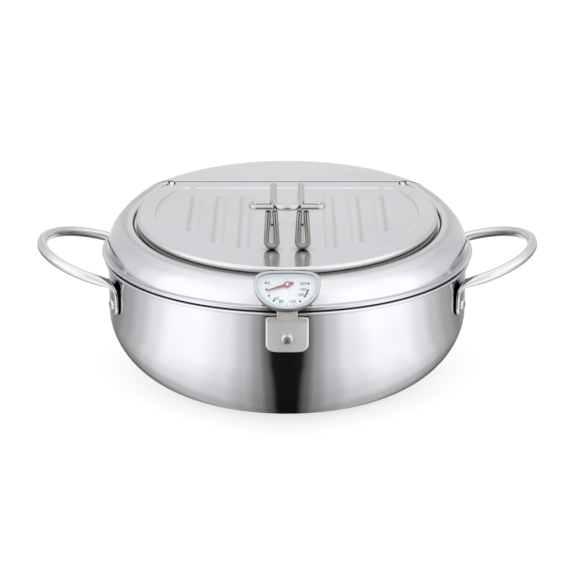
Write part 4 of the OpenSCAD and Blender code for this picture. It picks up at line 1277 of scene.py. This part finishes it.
class FRYER_OT_thermometer(bpy.types.Operator):
    """Makes the thermometer: case, bezel, lens, dial with a plain number scale, pointer and its arbor"""
    bl_idname = "fryer.thermometer"
    bl_label = "Thermometer"

    def execute(self, context):
        gauge = context.scene.fryer_gauge
        self.housing(gauge)
        self.scale(gauge)
        self.pointer(gauge)
        refinish("bimetal_coil", "brass")
        return {"FINISHED"}

    def housing(self, gauge):
        """Makes the case, bezel, lens and dial, each a loft through outlines [inset, height] of the face."""
        back, lens, dial, lip = -gauge.depth, gauge.lens_top, gauge.dial_top, gauge.lip
        seat, floor = lens - 1.0 * MM, dial - 1.2 * MM
        case = [(None, back), (1.6 * MM, back), (0.9 * MM, back + 0.2 * MM), (0.45 * MM, back + 0.65 * MM),
                (0.25 * MM, back + 1.3 * MM), (0.2 * MM, seat), (1.2 * MM, seat), (1.2 * MM, floor),
                (None, floor)]
        place("thermometer_case", [turned(on_face(lofted(gauge, case)))], "case", "pot", ["gauge_case"],
              50)
        inner = lip - 0.8 * MM
        bezel = [(0.1 * MM, -2.0 * MM), (0, -1.7 * MM), (0, -0.75 * MM), (0.12 * MM, -0.35 * MM),
                 (0.42 * MM, -0.08 * MM), (0.8 * MM, 0), (lip - 0.45 * MM, -0.18 * MM),
                 (lip - 0.1 * MM, -0.38 * MM), (lip, -0.6 * MM), (lip, -1.0 * MM), (inner, -1.0 * MM),
                 (inner, -2.0 * MM)]
        place("thermometer_bezel", [hoop(on_face(lofted(gauge, bezel)))], "bezel", "pot", ["gauge_bezel"],
              50)
        rim, front, rear = lip - 0.75 * MM, lens - 0.02 * MM, lens - 0.95 * MM
        glass = lofted(gauge, [(None, front), (rim, front), (rim, rear), (None, rear)])
        place("thermometer_lens", [turned(on_face(glass))], "lens", "pot", ["gauge_lens"], 30)
        edge, under = lens - 1.1 * MM, dial - 0.6 * MM
        dish = [(None, dial), (3.5 * MM, dial), (3.1 * MM, dial + 0.12 * MM), (2.0 * MM, edge),
                (1.3 * MM, edge), (1.3 * MM, under), (None, under)]
        place("thermometer_dial", [turned(on_face(lofted(gauge, dish)))], "dial", "pot", ["dial_plate"],
              30)

    def scale(self, gauge):
        """Prints the dots, the numbers and the red frying range."""
        dots = [turned(on_face(dot(gauge, value))) for value in range(0, 201, 10)]
        place("scale_marks", dots, "print", "pot", [])
        place("frying_range", [tube(on_face(red_band(gauge, 163.5, 176.5)))], "red", "pot", [])
        numbers = link("scale_numbers", printed_numbers(gauge, (0, 60, 80, 120, 160, 180, 200)))
        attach(numbers, "pot")

    def pointer(self, gauge):
        """Makes the tapered pointer with its hub ring and spade tail, and the arbor's cap."""
        high, low = gauge.pointer_top, gauge.pointer_top - 0.4 * MM
        shoulder, tip = gauge.pointer - 0.5 * MM, gauge.pointer
        upper = np.array([[1.2, 0.8], [-2.2, 0.4], [-2.9, 0.95], [-3.9, 0.5]]) * MM
        half = np.concatenate([[[shoulder, 0.34 * MM]], upper])
        blade = np.concatenate([half[1::-1] * [1, -1], [[tip, 0]], half, half[:1:-1] * [1, -1]])
        tail = [0.2 * MM, 0.4 * MM, 0.4 * MM]
        blade = rounded(blade, [0, 0, 0.1 * MM, 0, 0, *tail, *tail[::-1]], True, 15)
        bore, ring, lift = 0.64 * MM, 1.9 * MM, high + 0.1 * MM
        hub = revolve(np.array([[bore, lift], [ring - 0.15 * MM, lift], [ring, high - 0.05 * MM],
                                [ring, low], [bore, low]]), 48)
        angle = gauge.zero + np.radians(gauge.step * gauge.shown)
        c, s = np.cos(angle), np.sin(angle)
        spin = np.array([[c, s, 0], [-s, c, 0], [0, 0, 1]])
        body = slab(blade, low, high, 0.1 * MM)
        place("pointer_blade", [turned(on_face(body @ spin)), hoop(on_face(hub @ spin))], "red", "needle",
              ["pointer"], 30)
        foot, shaft, cap, top = -gauge.depth + 0.2 * MM, 0.6 * MM, 0.95 * MM, high + 0.15 * MM
        arbor = revolve(np.array([[0, foot], [shaft, foot], [shaft, top], [cap, top], [cap, high + 0.35 * MM],
                                  [0.7 * MM, high + 0.6 * MM], [0, high + 0.7 * MM]]), 32)
        place("pointer_cap", [turned(on_face(arbor))], "dial", "needle", ["pointer_arbor"], 30)


# ---------------------------------------------------------------- stage

def grey(level):
    """A grey as red, green, blue and alpha."""
    return level, level, level, 1


def emission(tree, tone, strength=1.0):
    """An emission shader."""
    return node(tree, "Emission", {"Color": tone, "Strength": strength}).outputs["Emission"]


def for_camera(tree, others, camera):
    """One shader for the camera's own rays and another for all other rays."""
    seen = node(tree, "LightPath").outputs["Is Camera Ray"]
    return node(tree, "MixShader", {0: seen, 1: others, 2: camera}).outputs["Shader"]


def ramp(tree, factor, stops):
    """Grey colour ramp with eased steps, stops as (position, level)."""
    made = node(tree, "ValToRGB", {"Fac": factor})
    made.color_ramp.interpolation = "EASE"
    elements = made.color_ramp.elements
    while len(elements) < len(stops):
        elements.new(0.5)
    for element, (position, level) in zip(elements, stops):
        element.position = position
        element.color = grey(level)
    return made.outputs["Color"]


def bearing(tree, split):
    """Angle away from straight ahead, 0 in front to 1 straight behind: atan2(|x|, -y) / pi."""
    away = calculated(tree, "ARCTAN2", calculated(tree, "ABSOLUTE", split.outputs["X"]),
                      calculated(tree, "MULTIPLY", split.outputs["Y"], -1.0))
    return calculated(tree, "DIVIDE", away, np.pi)


class FRYER_OT_stage(bpy.types.Operator):
    """Makes the pale floor, the reflector card, the soft lamps, the white surround and the camera"""
    bl_idname = "fryer.stage"
    bl_label = "Stage"

    def execute(self, context):
        stage = context.scene.fryer_stage
        self.floor(stage)
        self.card(stage)
        self.surround(context.scene)
        self.lamps()
        self.camera(context.scene, stage)
        context.scene.view_settings.view_transform = "Standard"
        return {"FINISHED"}

    def floor(self, stage):
        """Plain pale floor: white to the camera, darker only where the pot shades it."""
        half = stage.floor_size / 2
        mesh = bpy.data.meshes.new("floor")
        mesh.from_pydata([(-half, -half, 0), (half, -half, 0), (half, half, 0), (-half, half, 0)], [],
                         [(0, 1, 2, 3)])
        floor = link("floor", mesh)
        material = bpy.data.materials.new("pale_floor")
        tree = bare_tree(material)
        bounce = node(tree, "BsdfDiffuse", {"Color": grey(0.80)}).outputs["BSDF"]
        shaded = node(tree, "BsdfDiffuse", {"Color": grey(0.30)}).outputs["BSDF"]
        pale = node(tree, "AddShader", {0: shaded, 1: emission(tree, grey(0.76))}).outputs["Shader"]
        node(tree, "OutputMaterial", {"Surface": for_camera(tree, bounce, pale)})
        mesh.materials.append(material)

    def card(self, stage):
        """Glowing reflector card on the floor, seen only in reflections: black flag, white sides, grey
        behind, and a painted shadow of the pot close to it.
        """
        count, rings = 240, 24
        u = np.linspace(0, TAU, count, endpoint=False)[:, None]
        r = np.linspace(stage.card_inner, stage.card_outer, rings)[None]
        grid = around(r, u, np.full((count, rings), 0.4 * MM))
        mesh = make_mesh("reflector_card", [turned(grid)])
        card = link("reflector_card", mesh)
        card.visible_camera = False
        card.visible_diffuse = False
        card.visible_shadow = False
        card.visible_transmission = False
        material = bpy.data.materials.new("reflector_card")
        tree = bare_tree(material)
        split = node(tree, "SeparateXYZ", {"Vector": node(tree, "TexCoord").outputs["Object"]})
        share = bearing(tree, split)
        squares = [calculated(tree, "POWER", split.outputs[axis], 2.0) for axis in "XY"]
        far = calculated(tree, "POWER", calculated(tree, "ADD", *squares), 0.5)
        # the flag narrows towards the pot
        flag = stage.flag_half / np.pi
        share_seen = calculated(tree, "ADD", share, ranged(tree, far, 0.022, 0.0, 0.12, 0.30))
        level = ramp(tree, share_seen, [(0, 0.006), (flag, 0.008), (flag + 0.02, 0.14), (flag + 0.04, 0.32),
                                        (0.12, 0.55), (0.17, 0.80), (0.25, 0.97), (0.34, 0.94), (0.41, 0.74),
                                        (0.47, 0.52), (0.54, 0.36), (0.62, 0.22), (0.70, 0.30), (0.82, 0.60),
                                        (1, 0.75)])
        # painted shadow: the card's glow is darkened close to the pot, most at its sides, for the pot's
        # shadow on the floor
        aside = calculated(tree, "MINIMUM", share, calculated(tree, "SUBTRACT", 1.1, share))
        near = calculated(tree, "SUBTRACT", calculated(tree, "MULTIPLY", far, 2.5),
                          calculated(tree, "MULTIPLY", aside, 0.25))
        shade = ramp(tree, near, [(0.12, 0.0), (0.16, 0.16), (0.20, 0.42), (0.25, 0.7), (0.32, 0.85),
                                  (0.42, 0.92), (0.55, 0.97), (0.72, 1)])
        tone = blended(tree, 1.0, level, shade, "MULTIPLY")
        node(tree, "OutputMaterial", {"Surface": emission(tree, tone, stage.card_light)})
        mesh.materials.append(material)

    def surround(self, scene):
        """White behind the object; for light and reflections a soft room, brightest at the front corners."""
        world = bpy.data.worlds.new("soft_room")
        scene.world = world
        tree = bare_tree(world)
        split = node(tree, "SeparateXYZ", {"Vector": node(tree, "TexCoord").outputs["Generated"]})
        # by bearing, bright at both front corners and dull behind
        level = ramp(tree, bearing(tree, split), [(0, 0.62), (0.08, 0.68), (0.16, 0.92), (0.22, 0.97),
                                                  (0.45, 0.97), (0.53, 0.78), (0.60, 0.63), (0.75, 0.54),
                                                  (0.85, 0.55), (0.925, 0.48), (0.97, 0.60), (1, 0.63)])
        overhead = ranged(tree, split.outputs["Z"], 0.0, 1.0, 0.57, 0.94)
        # less strong for diffuse rays than for reflections
        ray = node(tree, "LightPath").outputs["Is Diffuse Ray"]
        strength = calculated(tree, "MULTIPLY_ADD", ray, -0.4, 1.6)
        room = node(tree, "Background", {"Color": blended(tree, overhead, level, grey(0.86)),
                                         "Strength": strength}).outputs["Background"]
        white = node(tree, "Background", {"Color": grey(1.0)}).outputs["Background"]
        node(tree, "OutputWorld", {"Surface": for_camera(tree, room, white)})

    def lamps(self):
        """Two large soft lamps from the front corners and one above, not seen as shapes in the metal."""
        aim = Vector((0, 0, 0.06))
        for name, spot, size in (("lamp_left", (-0.9, -0.9, 1.1), 0.9),
                                 ("lamp_right", (0.9, -0.9, 1.1), 0.9),
                                 ("lamp_top", (0, 0.1, 1.5), 1.2)):
            lamp = bpy.data.lights.new(name, "AREA")
            lamp.shape, lamp.size, lamp.energy = "SQUARE", size, 2.0
            holder = link(name, lamp)
            holder.location = spot
            holder.rotation_euler = (aim - Vector(spot)).to_track_quat("-Z", "Y").to_euler()
            holder.visible_glossy = False

    def camera(self, scene, stage):
        """The camera, in front of the thermometer and above it."""
        camera = bpy.data.cameras.new("camera")
        camera.lens, camera.sensor_width, camera.shift_x = stage.lens, 36.0, stage.shift
        holder = link("camera", camera)
        reach, lift = stage.distance * np.cos(stage.elevation), stage.distance * np.sin(stage.elevation)
        holder.location = (0, -reach, stage.look_height + lift)
        holder.rotation_euler = (np.pi / 2 - stage.elevation, 0, 0)
        scene.camera = holder


# ---------------------------------------------------------------- add-on

GROUPS = {"fryer_pot": PotSizes, "fryer_handles": HandleSizes, "fryer_lid": LidSizes, "fryer_flap": FlapSizes,
          "fryer_hinge": HingeSizes, "fryer_grip": GripSizes, "fryer_gauge": GaugeSizes,
          "fryer_finish": Finishes, "fryer_stage": StageSizes}
OPERATORS = (FRYER_OT_pot, FRYER_OT_handles, FRYER_OT_rivets, FRYER_OT_bracket, FRYER_OT_thermometer,
             FRYER_OT_lid, FRYER_OT_flap, FRYER_OT_hinge, FRYER_OT_grip, FRYER_OT_stage)


class FRYER_PT_sidebar(bpy.types.Panel):
    """Lists the pieces and their sizes in the sidebar"""
    bl_idname = "FRYER_PT_sidebar"
    bl_label = "Frying pot"
    bl_space_type = "VIEW_3D"
    bl_region_type = "UI"
    bl_category = "Frying pot"

    def draw(self, context):
        for operator in OPERATORS:
            self.layout.operator(operator.bl_idname)
        for name, group in GROUPS.items():
            box = self.layout.box()
            for key in group.__annotations__:
                box.prop(getattr(context.scene, name), key)


def register():
    """Registers the classes and the scene's groups."""
    for group in (*GROUPS.values(), *OPERATORS, FRYER_PT_sidebar):
        bpy.utils.register_class(group)
    for name, group in GROUPS.items():
        setattr(bpy.types.Scene, name, PointerProperty(type=group))


def unregister():
    """Removes what register added."""
    for name in GROUPS:
        delattr(bpy.types.Scene, name)
    for group in (FRYER_PT_sidebar, *OPERATORS[::-1], *list(GROUPS.values())[::-1]):
        bpy.utils.unregister_class(group)


def main():
    """Registers the add-on and makes every piece and the stage."""
    register()
    for operator in OPERATORS:
        family, name = operator.bl_idname.split(".")
        getattr(getattr(bpy.ops, family), name)()


if __name__ == "__main__":
    main()
